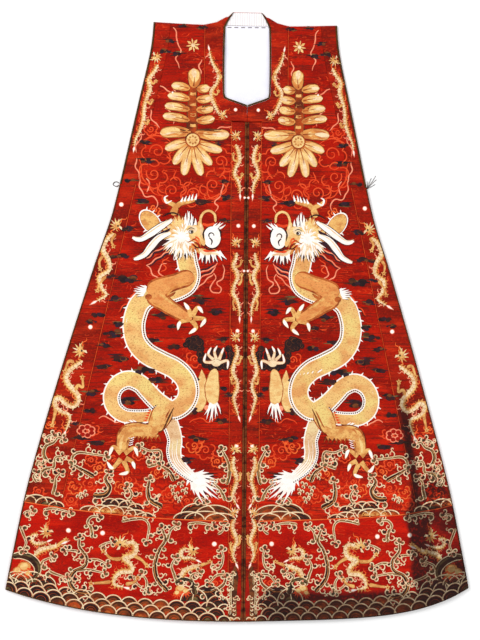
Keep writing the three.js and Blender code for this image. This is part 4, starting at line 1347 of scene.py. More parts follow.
def small_dragon(spine, width, head, nose, legs=(), lift=0.15):
    """A little dragon: its spine runs from neck to tail. nose is the way that its head looks,
    and each leg is a short path out to its foot."""
    path = line(spine, 2.5)
    wide = widths_along(path, [width * 0.7, width, width * 1.1, width * 0.8, width, width * 0.7,
                               width * 0.4])
    silks["rust"].strip(path, wide + 2.0, lift, (0.5, 1), columns=2, crown=0.02)
    silks["gold"].strip(path, wide - 0.6, lift + 0.15, (0.5, 1), columns=2)
    silks["pale_gold"].strip(beside(path, wide * 0.06), wide * 0.8, lift + 0.24, (0.7, 1), columns=1)
    silks["cream"].strip(beside(path, wide * 0.12), wide * 0.56, lift + 0.34, (1, 1), columns=1)
    for at, ahead, share in spots(path, width * 0.75):
        reach = np.array([-ahead[1], ahead[0]]) * width * (0.42 - 0.22 * share)
        silks["tan"].strip([at - reach, at + ahead * width * 0.2, at + reach], 0.9, lift + 0.42, columns=1)
    spikes("amber", beside(path, -wide * 0.4), width * 0.6, width * 0.46, width * 0.36, lift + 0.05)
    spikes("cream", beside(path, wide * 0.4), width * 1.1, width * 0.4, width * 0.24, lift + 0.06, side=1)
    for n, (at, ahead, share) in enumerate(spots(path, width * 1.1)):
        side = np.array([-ahead[1], ahead[0]]) * (1 if n % 2 else -1)
        flame_silk = ("tangerine", "pink", "orange", "pink")[n % 4]
        flamelet(flame_silk, at + side * width * 0.5, side * 0.6 - ahead * 0.8,
                 width * (1.0 + 0.3 * (n % 3)), lift - 0.05)
    tip = path[-1] - path[-4]
    tip = tip / np.hypot(*tip)
    silks["rose"].strip([path[-1] - tip * 2, path[-1] + tip * width * 0.7, path[-1] + tip * width * 1.9],
                        [1.5, width * 0.8, 0.8], lift + 0.05, columns=2)
    silks["white"].strip([path[-1], path[-1] + tip * width * 0.7, path[-1] + tip * width * 1.5],
                         [0.8, width * 0.4, 0.6], lift + 0.3, columns=1)
    for leg in legs:
        shin = line(leg, 2.5)
        silks["russet"].strip(shin, [width * 0.9, width * 0.6, width * 0.5], lift + 0.2, (0.4, 0))
        silks["gold"].strip(shin, [width * 0.66, width * 0.42, width * 0.34], lift + 0.32, (0.4, 0))
        paw(shin[-1], width * 0.34, lift + 0.35)
    small_head(np.array(head, float), np.array(nose, float), width, lift + 0.3)


def small_head(at, nose, size, lift):
    """A little dragon's head: mane, brow, jaws, horns, eye and crest."""
    ahead = nose / np.hypot(*nose)
    side = np.array([-ahead[1], ahead[0]])

    def place(along, out):
        return at + (ahead * along + side * out) * size

    for along, out, silk in ((-1.5, 0.9, "pale_gold"), (-1.7, 0.1, "cream"), (-1.4, -0.7, "pale_gold"),
                             (-0.8, 1.4, "cream"),
                             (-0.7, -1.3, "gold"), (0.0, 1.3, "gold"), (0.1, -1.2, "pale_gold")):
        silks[silk].strip([place(0, 0), place(along / 2, out / 2), place(along, out)],
                          [size * 0.44, size * 0.36, 0.6], lift)
    silks["rust"].disc(at, size * 0.8, lift + 0.05, 0.8, crown=0.05, sides=12)
    silks["gold"].disc(at, size * 0.66, lift + 0.15, 0.8, crown=0.2, sides=12)
    silks["cream"].strip([place(0.2, 0.3), place(0.8, 0.38), place(1.2, 0.2)],
                         [size * 0.55, size * 0.5, size * 0.35], lift + 0.2, (0.3, 0.3))
    silks["amber"].strip([place(0.2, -0.4), place(0.6, -0.62), place(0.95, -0.6)],
                         [size * 0.4, size * 0.3, size * 0.18], lift + 0.2, (0.3, 0.3))
    silks["orange"].strip([place(0.25, -0.1), place(0.65, -0.18), place(1.05, -0.2)], [1, size * 0.22, 1],
                          lift + 0.3, columns=1)
    for out, reach in ((0.75, 1.7), (0.15, 1.9)):
        horn = line([place(-0.1, out * 0.7), place(-0.5, out + 0.4), place(-0.4, reach)], 3)
        silks["pale_gold"].strip(horn, [size * 0.3, size * 0.24, 0.8], lift + 0.25)
    silks["navy"].disc(place(0.1, 0.2), size * 0.2, lift + 0.5, sides=8, rings=1)
    looks_across = abs(ahead[0]) > 0.7
    crest = side if looks_across else -ahead
    flamelet("tangerine", at + crest * size * 1.1, crest, size * 1.8, lift)


SMALL_DRAGONS = [
    # spine from neck to tail; width, head, nose; legs
    ([(20, 500), (22, 514), (27, 528), (20, 542), (18, 556), (25, 572), (27, 590), (19, 604),
      (14, 622), (13, 640)],
     8.5, (21, 480), (-0.3, 0.7),
     [[(16, 572), (10, 562), (9, 548)], [(24, 532), (13, 528), (10, 518)],
      [(22, 600), (27, 610), (24, 624)]]),
    ([(24, 262), (18, 278), (16, 296), (23, 312), (26, 328), (19, 342), (15, 356), (14, 370)],
     8.5, (23, 246), (-0.5, 0.6),
     [[(18, 300), (28, 296), (29, 284)], [(24, 330), (14, 336), (10, 328)]]),
    ([(20, 702), (17, 722), (24, 744), (26, 764), (18, 782), (17, 800), (24, 818), (20, 838),
      (14, 858)],
     8.5, (20, 688), (-0.4, 0.6),
     [[(24, 744), (13, 742), (9, 730)], [(18, 784), (28, 788), (29, 776)]]),
    ([(22, 948), (25, 966), (20, 984), (16, 1002), (21, 1020), (25, 1036), (17, 1052)],
     8.5, (22, 934), (0.4, 0.6),
     [[(20, 984), (28, 978), (28, 966)], [(17, 1004), (9, 998), (9, 986)]]),
    ([(20, 1086), (25, 1102), (20, 1118), (15, 1134), (21, 1150), (23, 1166), (17, 1182)],
     8.5, (21, 1074), (-0.3, 0.7),
     [[(16, 1144), (9, 1138), (9, 1124)], [(22, 1160), (28, 1150), (28, 1140)]]),
    ([(348, 742), (362, 752), (380, 768), (383, 786), (372, 802), (359, 816), (357, 832), (368, 843),
      (384, 836), (397, 824), (407, 830), (404, 846), (390, 856), (378, 860), (375, 872), (383, 896)],
     11.5, (352, 722), (-0.9, 0.35),
     [[(364, 808), (357, 796), (347, 800), (348, 778)], [(404, 848), (408, 866), (412, 884)],
      [(366, 746), (378, 744), (386, 766)]]),
    ([(282, 462), (296, 472), (307, 496), (295, 520), (293, 542), (313, 558), (309, 582), (299, 597),
      (318, 610)],
     10.5, (277, 446), (-0.6, 0.6),
     [[(307, 512), (314, 524), (312, 540)], [(300, 556), (312, 572), (318, 588)],
      [(280, 462), (288, 478), (284, 490)]]),
    ([(192, 92), (200, 108), (211, 124), (209, 146), (216, 166), (221, 188), (222, 210), (229, 234),
      (238, 254), (241, 270)],
     8.5, (196, 74), (0.3, -0.9),
     [[(210, 124), (202, 134), (196, 128)], [(217, 170), (207, 178), (204, 170)],
      [(223, 214), (214, 222), (212, 214)]]),
    ([(60, 196), (68, 180), (76, 162), (76, 144), (65, 128), (62, 108), (71, 92), (78, 76), (82, 58)],
     7.5, (51, 200), (-0.7, 0.5),
     [[(64, 124), (56, 114), (62, 106)], [(76, 150), (66, 154), (62, 146)]]),
    ([(448, 1170), (436, 1159), (420, 1154), (404, 1150), (390, 1144)],
     11, (421, 1119), (-0.9, 0.1),
     [[(400, 1150), (390, 1140), (380, 1134)]]),
    ([(440, 1124), (453, 1128), (450, 1142), (434, 1144), (422, 1140)],
     8, (421, 1119), (-0.9, 0.1),
     []),
    ([(256, 1144), (240, 1140), (231, 1148), (236, 1166), (256, 1174), (242, 1188), (240, 1202),
      (262, 1204), (275, 1216), (276, 1232), (256, 1238)],
     12, (266, 1142), (0.5, 0.8),
     [[(262, 1176), (284, 1174), (300, 1158)], [(234, 1168), (218, 1178), (207, 1190)],
      [(284, 1226), (304, 1228), (326, 1230)], [(252, 1232), (234, 1226), (226, 1216)]]),
    ([(134, 1216), (126, 1200), (108, 1192), (92, 1187)],
     11, (108, 1156), (-0.9, -0.2),
     [[(92, 1188), (80, 1184), (72, 1180)]]),
    ([(122, 1150), (134, 1158), (130, 1172), (112, 1172), (102, 1176)],
     8, (108, 1156), (-0.9, -0.2),
     []),
]

PEARLS = [
    # out, drop, radius
    (17, 441, 4), (4, 379, 2.6), (4, 540, 2.6), (17, 672, 4), (17, 925, 4), (16, 1070, 4),
    (332, 668, 4.6), (268, 398, 4.6), (25, 186, 3.6), (375, 1114, 5), (302, 1119, 5), (63, 1141, 5),
    (160, 152, 3.2),
]


def small_dragons():
    for spine, width, head, nose, legs in SMALL_DRAGONS:
        small_dragon(spine, width, head, nose, legs)
    for out, drop, radius in PEARLS:
        pearl(out, drop, radius)


# ------------------------------------------------ foam, waves and clouds

def curl(at, radius, toward, hand=1, lift=0.3, hollow="olive"):
    """A rolled crest of foam: a pale hook that starts on the side that toward points to, and winds
    in to a bead."""
    start = math.degrees(math.atan2(-toward[1], toward[0]))
    coil = arc(at, (radius, radius * 0.4), start, start + hand * 270, step=3.2)
    silks[hollow].disc(at, radius * 0.62, lift + 0.04, sides=7, rings=1)
    silks["cream"].strip(coil, [1.7, 2.3, 2.2, 1.8], lift + 0.16, columns=1)
    silks["rose"].disc(coil[-1], radius * 0.28, lift + 0.2, sides=6, rings=1)


def frond(stem, side, width, size=6.4, silk="olive"):
    """A sprig of foam: a dark stem with pale edges, with curls along one side, or both when side
    is 0."""
    lift = 0.1
    path = line(stem)
    wide = widths_along(path, [width, width * 0.9, width * 0.6, width * 0.4])
    silks["cream"].strip(path, wide + 3.0, lift, (0.4, 0.6), columns=2, crown=0.02)
    silks[silk].strip(path, wide, lift + 0.14, (0.4, 0.6), columns=2, crown=0.02)
    silks["tan"].strip(beside(path, wide * 0.15), wide * 0.22, lift + 0.26, (0.4, 0.6), columns=1,
                       crown=0.02)
    for n, (at, ahead, share) in enumerate(spots(path, size * (2.1 if side else 1.35))):
        hand = side or (1 if n % 2 else -1)
        out = np.array([-ahead[1], ahead[0]]) * hand
        wobble = 1 + 0.3 * math.sin(2.3 * n + hand + stem[0][0])
        if wobble < 0.76:
            continue
        reach = np.interp(share, [0, 1], [width, width * 0.4]) / 2 + size * 0.9 * wobble
        at = at + ahead * size * 0.3 * math.cos(4.1 * n + stem[0][1])
        curl(at + out * reach, size * wobble * (1.04 - 0.1 * share), -out, hand,
             lift + 0.3 + 0.01 * (n % 3), ("olive", "cherry", "brown")[n % 3])
        if wobble > 1.12:
            bead = at + out * (reach + size * 1.5) - ahead * size * 0.6
            curl(bead, size * 0.66, -out, -hand, lift + 0.34, "cherry")
    ahead = path[-1] - path[-3]
    ahead = ahead / np.hypot(*ahead)
    for k, turn in enumerate((-74, 0, 74)):
        out = turned([ahead], turn=turn)[0]
        hand = 1 if turn > 0 else -1
        curl(path[-1] + out * size * 1.15, size * (1.0, 1.2, 0.9)[k], -out, hand, lift + 0.36)


FRONDS = [
    # stem, side of its curls, width
    ([(473, 1080), (465, 1074), (455, 1072)], -1, 3),
    ([(430, 1070), (411, 1067), (391, 1070), (373, 1074)], -1, 3.5),
    ([(325, 1131), (326, 1111), (334, 1095), (326, 1084), (312, 1083)], 0, 6),
    ([(324, 1252), (357, 1247), (371, 1229), (364, 1206), (340, 1192), (337, 1171), (351, 1151),
      (352, 1132)], 0, 10),
    ([(351, 1161), (368, 1158), (380, 1158)], 0, 4),
    ([(333, 1178), (312, 1178), (294, 1186)], -1, 4),
    ([(357, 1202), (331, 1200), (300, 1206)], -1, 4),
    ([(436, 1198), (430, 1183), (410, 1173)], -1, 4),
    ([(418, 1203), (403, 1210), (380, 1217)], -1, 4),
    ([(262, 1093), (237, 1088), (214, 1088), (203, 1103), (207, 1135)], 1, 4),
    ([(162, 1246), (184, 1220), (190, 1190), (181, 1156), (168, 1133), (175, 1108)], 0, 9),
    ([(165, 1136), (158, 1113), (146, 1101)], 0, 5),
    ([(121, 1098), (96, 1095), (67, 1100)], -1, 4),
    ([(141, 1233), (148, 1210), (154, 1190), (146, 1173)], 0, 5),
    ([(69, 1201), (50, 1192), (44, 1170), (47, 1155)], 1, 4),
    ([(38, 1208), (58, 1210), (72, 1226)], -1, 4),
    ([(105, 1236), (112, 1212), (96, 1203)], 0, 5),
    ([(210, 1251), (207, 1226), (216, 1209)], 0, 4),
    ([(236, 1211), (228, 1230), (208, 1244)], 0, 3.5),
    ([(479, 1106), (473, 1122), (466, 1142), (472, 1158)], 1, 4),
    ([(92, 1248), (66, 1246), (43, 1230), (38, 1216)], -1, 9),
    ([(310, 1150), (296, 1142), (282, 1138)], -1, 3.5),
    ([(56, 1120), (46, 1112), (42, 1098)], 0, 3.5),
    ([(368, 977), (368, 954), (354, 943), (326, 946), (298, 950)], 1, 4.5),
    ([(321, 996), (345, 982), (366, 970)], 0, 9),
    ([(323, 1037), (298, 1035), (288, 1019), (297, 1001), (290, 988)], 0, 12),
    ([(208, 973), (181, 962), (181, 938), (203, 938), (222, 930)], 1, 5),
    ([(175, 1061), (200, 1046), (206, 1026), (203, 1002)], 0, 11),
    ([(149, 1004), (161, 982), (178, 970)], -1, 9),
    ([(38, 1011), (32, 986), (35, 961), (48, 935)], 1, 7),
    ([(40, 1046), (50, 1024), (65, 1009)], 0, 6),
    ([(421, 966), (430, 948), (425, 930), (409, 922), (400, 911), (390, 913)], 1, 7),
    ([(427, 922), (421, 909), (411, 906)], 0, 4),
    ([(436, 992), (428, 981), (409, 977), (407, 962), (402, 953), (392, 953)], 0, 6),
    ([(446, 974), (441, 963), (434, 968)], 0, 4),
    ([(444, 1010), (452, 998), (446, 990)], 0, 4),
    ([(410, 1037), (405, 1017), (403, 999), (394, 989)], 0, 6),
    ([(250, 1050), (240, 1034), (248, 1018)], 0, 5),
    ([(108, 1050), (98, 1040), (84, 1044)], 0, 4),
]


FOAM_TUFTS = [(350, 1038), (340, 1033), (134, 1010), (126, 1025), (146, 1033), (139, 1043), (166, 990),
              (152, 1018)]


def foam():
    """Sprigs of foam, the broad ones on brown stems, and small tufts of three curls."""
    for stem, side, width in FRONDS:
        frond(stem, side, width * 0.95, silk="brown" if width > 8 else "olive")
    for out, drop in FOAM_TUFTS:
        for k in range(3):
            curl(around((out, drop), 5, 120 * k + out), 4.6, (0.6, 0.8))


def hill(at, radius, rise, lift, shades, lean=0.0):
    """One round wave seen from the side, under a pale crest. shades are the silks of its outer,
    middle and inner round."""
    for silk, share, up in zip(shades, (1.0, 0.66, 0.36), (0, 0.1, 0.2)):
        rim = turned(arc((0, 0), radius * share, 0, 180, rise), at, lean)
        silks[silk].fan(at, rim, lift + up, rings=2, crown=0.02)
    edge = turned(arc((0, 0), radius - 1.4, 0, 180, rise), at, lean)
    silks["cream"].strip(edge, [2.0, 2.4, 2.4, 2.4, 2.0], lift + 0.3, columns=1, crown=0.03)
    for share in (0.83, 0.52):
        ring = turned(arc((0, 0), radius * share, 10, 170, rise), at, lean)
        silks["rust"].strip(ring, 1.0, lift + 0.26, columns=1, crown=0)


# silks of a wave's outer, middle and inner round
WAVE_DYES = [("black", "black", "brown"), ("black", "brown", "rust"), ("brown", "umber", "rust"),
             ("umber", "rust", "russet"), ("black", "brown", "olive"), ("rust", "amber", "gold")]


def wave_scales():
    """The sea along the hem: rows of round waves, each row over the one above it."""
    rng = np.random.default_rng(7)
    for row, (above, radius) in enumerate(((26, 19.5), (13, 20), (0.5, 20.5))):
        pitch = radius * 1.74
        for out in np.arange(FRONT_BAND_HALF + 8 + (row % 2) * pitch / 2, 520, pitch):
            drop = hem(min(out, HEM_HALF)) - above
            slope = math.degrees(math.atan2(hem(out - 9) - hem(out + 9), 18))
            chance = rng.random()
            if out < 110 or out > 400:
                shades = WAVE_DYES[0 if chance < 0.6 else 4]
            else:
                shades = WAVE_DYES[(1, 2, 2, 3)[int(chance * 4)]]
            room = out - FRONT_BAND_HALF - 1.5 + radius * 0.4
            size = min(radius, room) * (0.94 + 0.12 * rng.random())
            hill((out, drop), size, 0.96, 0.1 + 0.36 * row, shades, -slope)


WAVE_HILLS = [
    # out, drop, radius, rise, row of WAVE_DYES
    (98, 1076, 38, 0.66, 2), (64, 1080, 42, 0.6, 3), (118, 1087, 34, 0.5, 0), (82, 1088, 46, 0.42, 3),
    (50, 1088, 34, 0.45, 2), (286, 1058, 20, 0.8, 0), (268, 1058, 20, 0.8, 0), (250, 1062, 20, 0.8, 0),
    (232, 1066, 18, 0.7, 0), (330, 1070, 22, 0.5, 3), (308, 1072, 26, 0.6, 5), (284, 1074, 28, 0.6, 5),
    (258, 1077, 28, 0.6, 3), (234, 1080, 26, 0.5, 2), (212, 1083, 20, 0.5, 0), (446, 1054, 26, 0.7, 2),
    (424, 1058, 24, 0.7, 4), (402, 1063, 18, 0.7, 4), (464, 1052, 20, 0.7, 3), (76, 1264, 34, 1.0, 0),
    (106, 1268, 30, 1.0, 4), (54, 1278, 26, 1.0, 0), (484, 1228, 34, 0.7, 0), (456, 1228, 34, 0.7, 4),
    (430, 1236, 30, 0.8, 0), (502, 1238, 26, 0.8, 4),
]


def wave_hills():
    """Larger waves that rise from the hem band's seam, from the hem and in the side bands."""
    for k, (out, drop, radius, rise, shades) in enumerate(WAVE_HILLS):
        hill((out, drop), radius, rise, 0.08 + 0.02 * (k % 6), WAVE_DYES[shades])


def band_feet():
    """Dark water and foam at the foot of each front band."""
    stroke("umber", [(18, 1188), (19, 1236), (18, 1308)], [3, 24, 28, 28], 0.05, columns=2)
    stroke("cherry", [(10, 1214), (9, 1250), (11, 1300)], [2, 9, 11, 10], 0.15, columns=2)
    for stem, side in (([(29, 1296), (27, 1266), (28, 1240)], 1), ([(15, 1298), (16, 1276), (15, 1262)], 1),
                       ([(22, 1232), (23, 1208)], 1)):
        frond(stem, side, 3, 4.0)
    for out, above, radius, shades in ((13, 5, 7, 3), (27, 4, 8, 5)):
        hill((out, FRONT_LENGTH - above), radius, 0.8, 0.5, WAVE_DYES[shades])


def breakers():
    """Dark waves that roll over, with bright spray in their hollow."""
    for points, wide, glow in (
        ([(496, 1174), (478, 1170), (456, 1176), (442, 1192), (442, 1210), (452, 1222)],
         [8, 13, 15, 15, 11, 4],
         [(470, 1196, 15), (484, 1204, 11), (462, 1210, 9)]),
        ([(146, 1228), (134, 1221), (118, 1224), (106, 1238), (104, 1254)], [5, 11, 13, 13, 9],
         [(134, 1240, 12), (124, 1246, 9), (142, 1250, 8)]),
    ):
        path = line(points)
        width = widths_along(path, wide)
        silks["cream"].strip(path, width + 4, 0.2, (0.4, 0.5), columns=4, crown=0.02)
        silks["brown"].strip(path, width, 0.36, (0.4, 0.5), columns=4, crown=0.02)
        silks["olive"].strip(beside(path, width * 0.2), width * 0.3, 0.46, (0.5, 0.5), columns=2)
        for out, drop, radius in glow:
            silks["amber"].disc((out, drop), radius, 0.3, 0.8, 20, sides=12)
            silks["pale_gold"].disc((out, drop - 2), radius * 0.62, 0.45, 0.8, 20, sides=10)
            for bearing in range(200, 360, 32):
                root, tip = (around((out, drop), radius * far, bearing) for far in (0.5, 1.5))
                silks["orange"].strip([root, (root + tip) / 2, tip], [4, 3, 0.6], 0.34)


CLOUDLETS = [
    # out, drop, size
    (222, 391, 1.1), (95, 390, 1.3), (40, 379, 0.9), (45, 430, 0.8), (254, 450, 0.9), (265, 512, 1.1),
    (288, 514, 0.7), (252, 345, 0.9), (48, 345, 0.8), (210, 300, 0.9), (60, 262, 0.7), (150, 200, 0.7),
    (216, 262, 0.8), (180, 62, 0.9), (166, 40, 0.8), (253, 562, 1.5), (277, 606, 1.1), (285, 684, 1.3),
    (300, 708, 0.9), (268, 734, 1.2), (298, 755, 1.1), (212, 761, 1.7), (189, 784, 1.3),
    (251, 829, 1.4), (98, 604, 1.5), (61, 630, 1.2), (183, 640, 1.0), (199, 696, 1.0), (150, 709, 0.9),
    (48, 691, 0.9), (45, 870, 1.0), (100, 910, 1.1), (286, 556, 0.8), (106, 851, 0.9), (47, 799, 0.8),
    (228, 874, 0.9), (340, 572, 0.9), (314, 640, 1.1), (350, 624, 0.6), (366, 634, 0.6),
    (332, 656, 0.7), (327, 812, 1.2), (332, 852, 1.0), (352, 910, 1.0), (314, 922, 1.1),
    (382, 690, 0.8), (396, 740, 0.8), (416, 800, 0.9), (360, 880, 0.7), (424, 860, 0.8),
    (128, 958, 1.2), (78, 990, 1.0), (33, 812, 0.7), (270, 660, 0.9), (160, 664, 0.7), (110, 780, 0.8),
]
SHOULDER_CLOUDS = [(135, 5, 0.7), (97, 8, 0.7), (152, 66, 0.8)]


def clouds():
    """Small dark clouds: round puffs, with a few streaks drawn out across the cloth."""
    rng = np.random.default_rng(11)
    for out, drop, size in CLOUDLETS + SHOULDER_CLOUDS:
        for k in range(10):
            x, y = (out, drop) + rng.normal(size=2) * (5, 2.4) * size
            half = (4 + 3 * rng.random() if k > 3 else 9 + 9 * rng.random()) * size
            if y < 2.5 or x + half > side_edge(y) - 7:
                continue
            if k > 3:
                silk = ("black", "navy", "black", "umber", "black", "navy")[k - 4]
                silks[silk].disc((x, y), half, 0.12 + 0.03 * k, 0.62, sides=9, rings=1, crown=0.02)
            else:
                silk = ("olive", "brown", "black", "navy")[k]
                streak = [(x - half, y), (x - half / 3, y + rng.normal() * 0.8), (x + half / 3, y),
                          (x + half, y)]
                silks[silk].strip(streak, [0.4, 2.6 * size, 3 * size, 0.4], 0.05 + 0.03 * k)


def scroll(out, drop, radius, turn=0.0, hand=1, silk="orange", width=2.4):
    """A cloud head: a spiral in a lobed outline."""
    spin = arc((0, 0), (radius * 0.55, radius * 0.1), 0, 480 * hand)
    silks[silk].strip(turned(spin, (out, drop), turn), [width, width, width * 0.8], 0.05, columns=1)
    for k in range(5):
        bearing = math.radians(-60 + 62 * k)
        at = (radius * 0.72 * math.cos(bearing), radius * 0.72 * math.sin(bearing))
        lobe = arc(at, radius * 0.42, -math.degrees(bearing) - 96, -math.degrees(bearing) + 96)
        silks[silk].strip(turned(lobe, (out, drop), turn), width, 0.1, (0.5, 0.5), columns=1)
    tail = turned([(-radius * 0.6, radius * 0.5), (-radius * 1.1, radius * 0.9),
                   (-radius * 1.7, radius * 0.8)],
                  (out, drop), turn)
    stroke(silk, tail, [width, width, 0.6], 0.05, columns=1)


SCROLLS = [
    # out, drop, radius, turn in degrees, hand
    (192, 280, 30, 10, 1), (200, 330, 28, -30, -1), (160, 366, 27, 60, 1), (112, 372, 26, 10, 1),
    (72, 352, 27, 90, 1), (56, 300, 26, 140, -1), (206, 232, 13, 10, -1), (196, 410, 10, 0, 1),
    (108, 735, 17, 30, 1), (262, 740, 14, 0, -1), (84, 935, 19, 10, 1), (108, 925, 15, 60, -1),
    (324, 893, 12, 20, 1), (176, 1006, 14, 30, 1), (160, 1034, 15, -20, -1), (186, 984, 13, 80, 1),
    (122, 1048, 12, 0, 1), (228, 985, 16, 40, 1), (246, 1000, 14, -30, -1), (262, 1018, 14, 20, 1),
    (232, 1026, 15, 80, 1), (350, 1000, 16, 0, 1), (330, 1012, 13, 50, -1), (362, 1020, 13, 10, 1),
    (370, 1046, 13, 0, -1), (340, 1052, 14, 40, 1), (276, 962, 13, 0, 1), (58, 960, 12, 40, 1),
    (470, 1192, 10, 0, 1), (400, 1186, 12, 20, 1), (60, 1228, 12, 0, 1), (136, 984, 12, 60, -1),
    (118, 1000, 11, 10, 1), (140, 1056, 11, 30, 1), (206, 1058, 12, 0, 1), (310, 976, 11, 70, 1),
    (226, 946, 12, 20, -1), (250, 1040, 12, 0, 1), (300, 1000, 11, 40, -1), (190, 940, 11, 0, 1),
    (328, 960, 12, 20, 1), (410, 940, 10, 0, 1), (440, 1030, 11, 20, 1), (418, 880, 11, 0, -1),
    (396, 900, 11, 40, 1),
]
CLOUD_CONTOURS = [
    [(228, 262), (214, 252), (196, 246), (176, 250), (160, 262)],
    [(232, 292), (226, 312), (224, 336), (210, 356), (196, 374), (168, 380)],
    [(96, 388), (70, 378), (50, 366), (38, 344), (36, 322)],
    [(150, 320), (156, 336), (148, 344)],
]


def cloud_lines():
    """Cloud heads, bright below the chest, with contour lines at the chest and a ring of puffs."""
    for k, (out, drop, radius, turn, hand) in enumerate(SCROLLS):
        silk = "orange" if drop < 400 else ("orange", "cherry", "orange", "tangerine")[k % 4]
        scroll(out, drop, radius, turn, hand, silk, 2.8)
    for points in CLOUD_CONTOURS:
        stroke("orange", points, [1, 3, 3, 1], 0.05, columns=1)
    for silk, grow in (("pink", 0), ("cherry", -2.6)):
        for k in range(7):
            at = around((339, 896), 13, 51 * k, 0.7)
            silks[silk].disc(at, 8 + grow, 0.2 - 0.04 * grow, 0.85, sides=12, rings=1, crown=0.02)


# ------------------------------------------------ gold flowers on the chest

def petal(at, turn, length, width, lift=0.3):
    """A broad leaf: amber at its root, pale gold towards its blunt tip."""
    path = turned(line([(0, 0), (length * 0.5, -width * 0.1), (length, 0)]), at, turn)
    shape = np.array([0.45, 0.8, 1.0, 1.0, 0.95, 0.6])
    silks["umber"].strip(path, shape * width + 2.4, lift, (0.2, 0.25), columns=4, crown=0.01)
    silks["amber"].strip(path, shape * width, lift + 0.14, (0.2, 0.25), columns=4, crown=0.02)
    silks["pale_gold"].strip(path[len(path) // 4:], [width * 0.4, width * 0.8, width * 0.86, width * 0.5],
                             lift + 0.26, (0.8, 0.4), columns=2)
    silks["cream"].strip(path[len(path) // 2:], [width * 0.2, width * 0.44, width * 0.3], lift + 0.38,
                         (0.6, 0.6), columns=1)
    silks["russet"].strip(path[len(path) // 10: len(path) * 2 // 3], [3, 2, 0.8], lift + 0.5, columns=1)


def chest_flower():
    """A tall stem with tiers of broad gold leaves, a bud on top and an open flower at its foot."""
    middle = 116
    stem = [(middle, 300), (middle + 2, 220), (middle, 120)]
    stroke("umber", stem, [18, 24, 15], 0.2, (0.2, 0.4), columns=4)
    stroke("rust", stem, [15, 20, 12], 0.34, (0.2, 0.4), columns=4)
    petal((middle, 140), -90, 42, 26)
    for drop, reach in ((142, 36), (165, 44), (188, 50), (211, 54)):
        petal((middle - 7, drop), -172, reach * 0.62 + 6, 18)
        petal((middle + 7, drop), -8, reach + 4, 18)
        tie = [(middle - 6, drop + 11), (middle, drop + 12), (middle + 6, drop + 11)]
        silks["gold"].strip(tie, 6, 0.5, columns=1)
    petal((middle - 4, 238), 178, 74, 24)
    petal((middle + 4, 238), 2, 66, 24)
    for turn, length, width in ((162, 66, 20), (128, 66, 20), (104, 78, 21), (76, 78, 21),
                                (52, 66, 20), (18, 62, 20)):
        petal((middle, 256), turn, length, width)
    silks["rust"].disc((middle, 254), 17, 0.75)
    silks["pale_gold"].disc((middle, 254), 14, 0.9)
    for k in range(8):
        silks["tan"].disc(around((middle, 254), 8, 45 * k), 2.4, 1.2, sides=6, rings=1)


def rosette(out, drop, radius):
    """A round gold flower with broad and narrow petals in turn."""
    for k in range(8):
        path = turned([(radius * 0.25, 0), (radius * 0.65, 0), (radius, 0)], (out, drop), 45 * k + 10)
        silks["pale_gold"].strip(path, [2, 6.2, 3] if k % 2 else [2, 3.6, 1.2], 0.2, (0, 0.4))
    silks["cream"].disc((out, drop), radius * 0.26, 0.4)


def edge_lines():
    """The dark edge of the side seams and the hem, and the bright thread of the hem band's seam."""
    seam = even(FRONT_BAND_HALF + 1, HEM_BAND_REACH + 1, 6)
    silks["tangerine"].strip(np.stack([seam, hem_band_seam(seam)], 1), 2.3, 0.74, columns=1)
    drops = even(UNDERARM_DROP + 2, HEM_CORNER_DROP - 2, 6)
    silks["binding"].strip(np.stack([side_edge(drops) - 1.5, drops], 1), 2.4, 0.9, columns=1)
    outs = even(2, HEM_HALF - 2, 6)
    silks["binding"].strip(np.stack([outs, hem(outs) - 1.5], 1), 2.4, 1.3, columns=1)


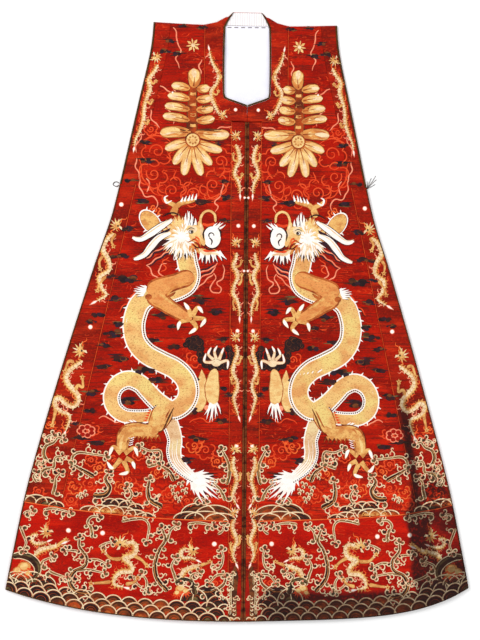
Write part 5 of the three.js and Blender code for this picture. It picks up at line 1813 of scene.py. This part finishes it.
def weave_figures():
    """All figures, then one piece for each silk."""
    cloud_lines()
    clouds()
    ribbons()
    dragon_body()
    dragon_arm()
    dragon_near_leg()
    dragon_far_leg()
    dragon_horns()
    dragon_ear()
    dragon_face()
    dragon_muzzle()
    dragon_tail_tuft()
    wave_hills()
    foam()
    breakers()
    wave_scales()
    band_feet()
    small_dragons()
    chest_flower()
    rosette(117, 47, 15)
    edge_lines()
    for silk in silks.values():
        silk.sew()


weave_figures()


# ---------------------------------------------------------------- floor, light and camera

CAMERA_HEIGHT = 3.33
CAMERA_LENS = 85.0
VIEW_CENTRE = (0.002, -0.0064)
LEAN = 0.008  # the vest lies this much askew in the view, in radians
FLOOR_SIZE = 14
FLOOR_DROP = 0.0004
WORLD_LIGHT = 0.75


def plain_floor():
    bpy.ops.object.select_all(action="DESELECT")
    bpy.ops.mesh.primitive_plane_add(size=FLOOR_SIZE, location=(0, 0, -FLOOR_DROP))
    floor = bpy.context.object
    floor.name = "floor"
    floor.data.materials.append(floor_paper())


def area_light(name, place, size, power):
    """A soft square light that faces the vest."""
    lamp = bpy.data.lights.new(name, "AREA")
    lamp.size, lamp.energy = size, power
    light = bpy.data.objects.new(name, lamp)
    light.location = place
    light.rotation_euler = light.location.to_track_quat("Z", "Y").to_euler()
    bpy.context.scene.collection.objects.link(light)


def light_and_camera():
    scene = bpy.context.scene
    scene.world = bpy.data.worlds.new("studio")
    scene.world.use_nodes = True
    background = scene.world.node_tree.nodes["Background"]
    background.inputs["Color"].default_value = (1, 1, 1, 1)
    background.inputs["Strength"].default_value = WORLD_LIGHT
    area_light("key_light", (-2.2, 1.6, 2.6), 1.6, 75)
    area_light("fill_light", (2.4, -1.0, 3.0), 2.5, 30)
    camera = bpy.data.objects.new("camera", bpy.data.cameras.new("camera"))
    scene.collection.objects.link(camera)
    camera.location = (*VIEW_CENTRE, CAMERA_HEIGHT)
    camera.rotation_euler = (0, 0, LEAN)
    camera.data.lens = CAMERA_LENS
    scene.camera = camera
    scene.view_settings.view_transform = "Standard"


plain_floor()
light_and_camera()

for node in ("underarm_loop", "underarm_tie"):
    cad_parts[node].data.materials.clear()
    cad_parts[node].data.materials.append(FINISHES["brown"])
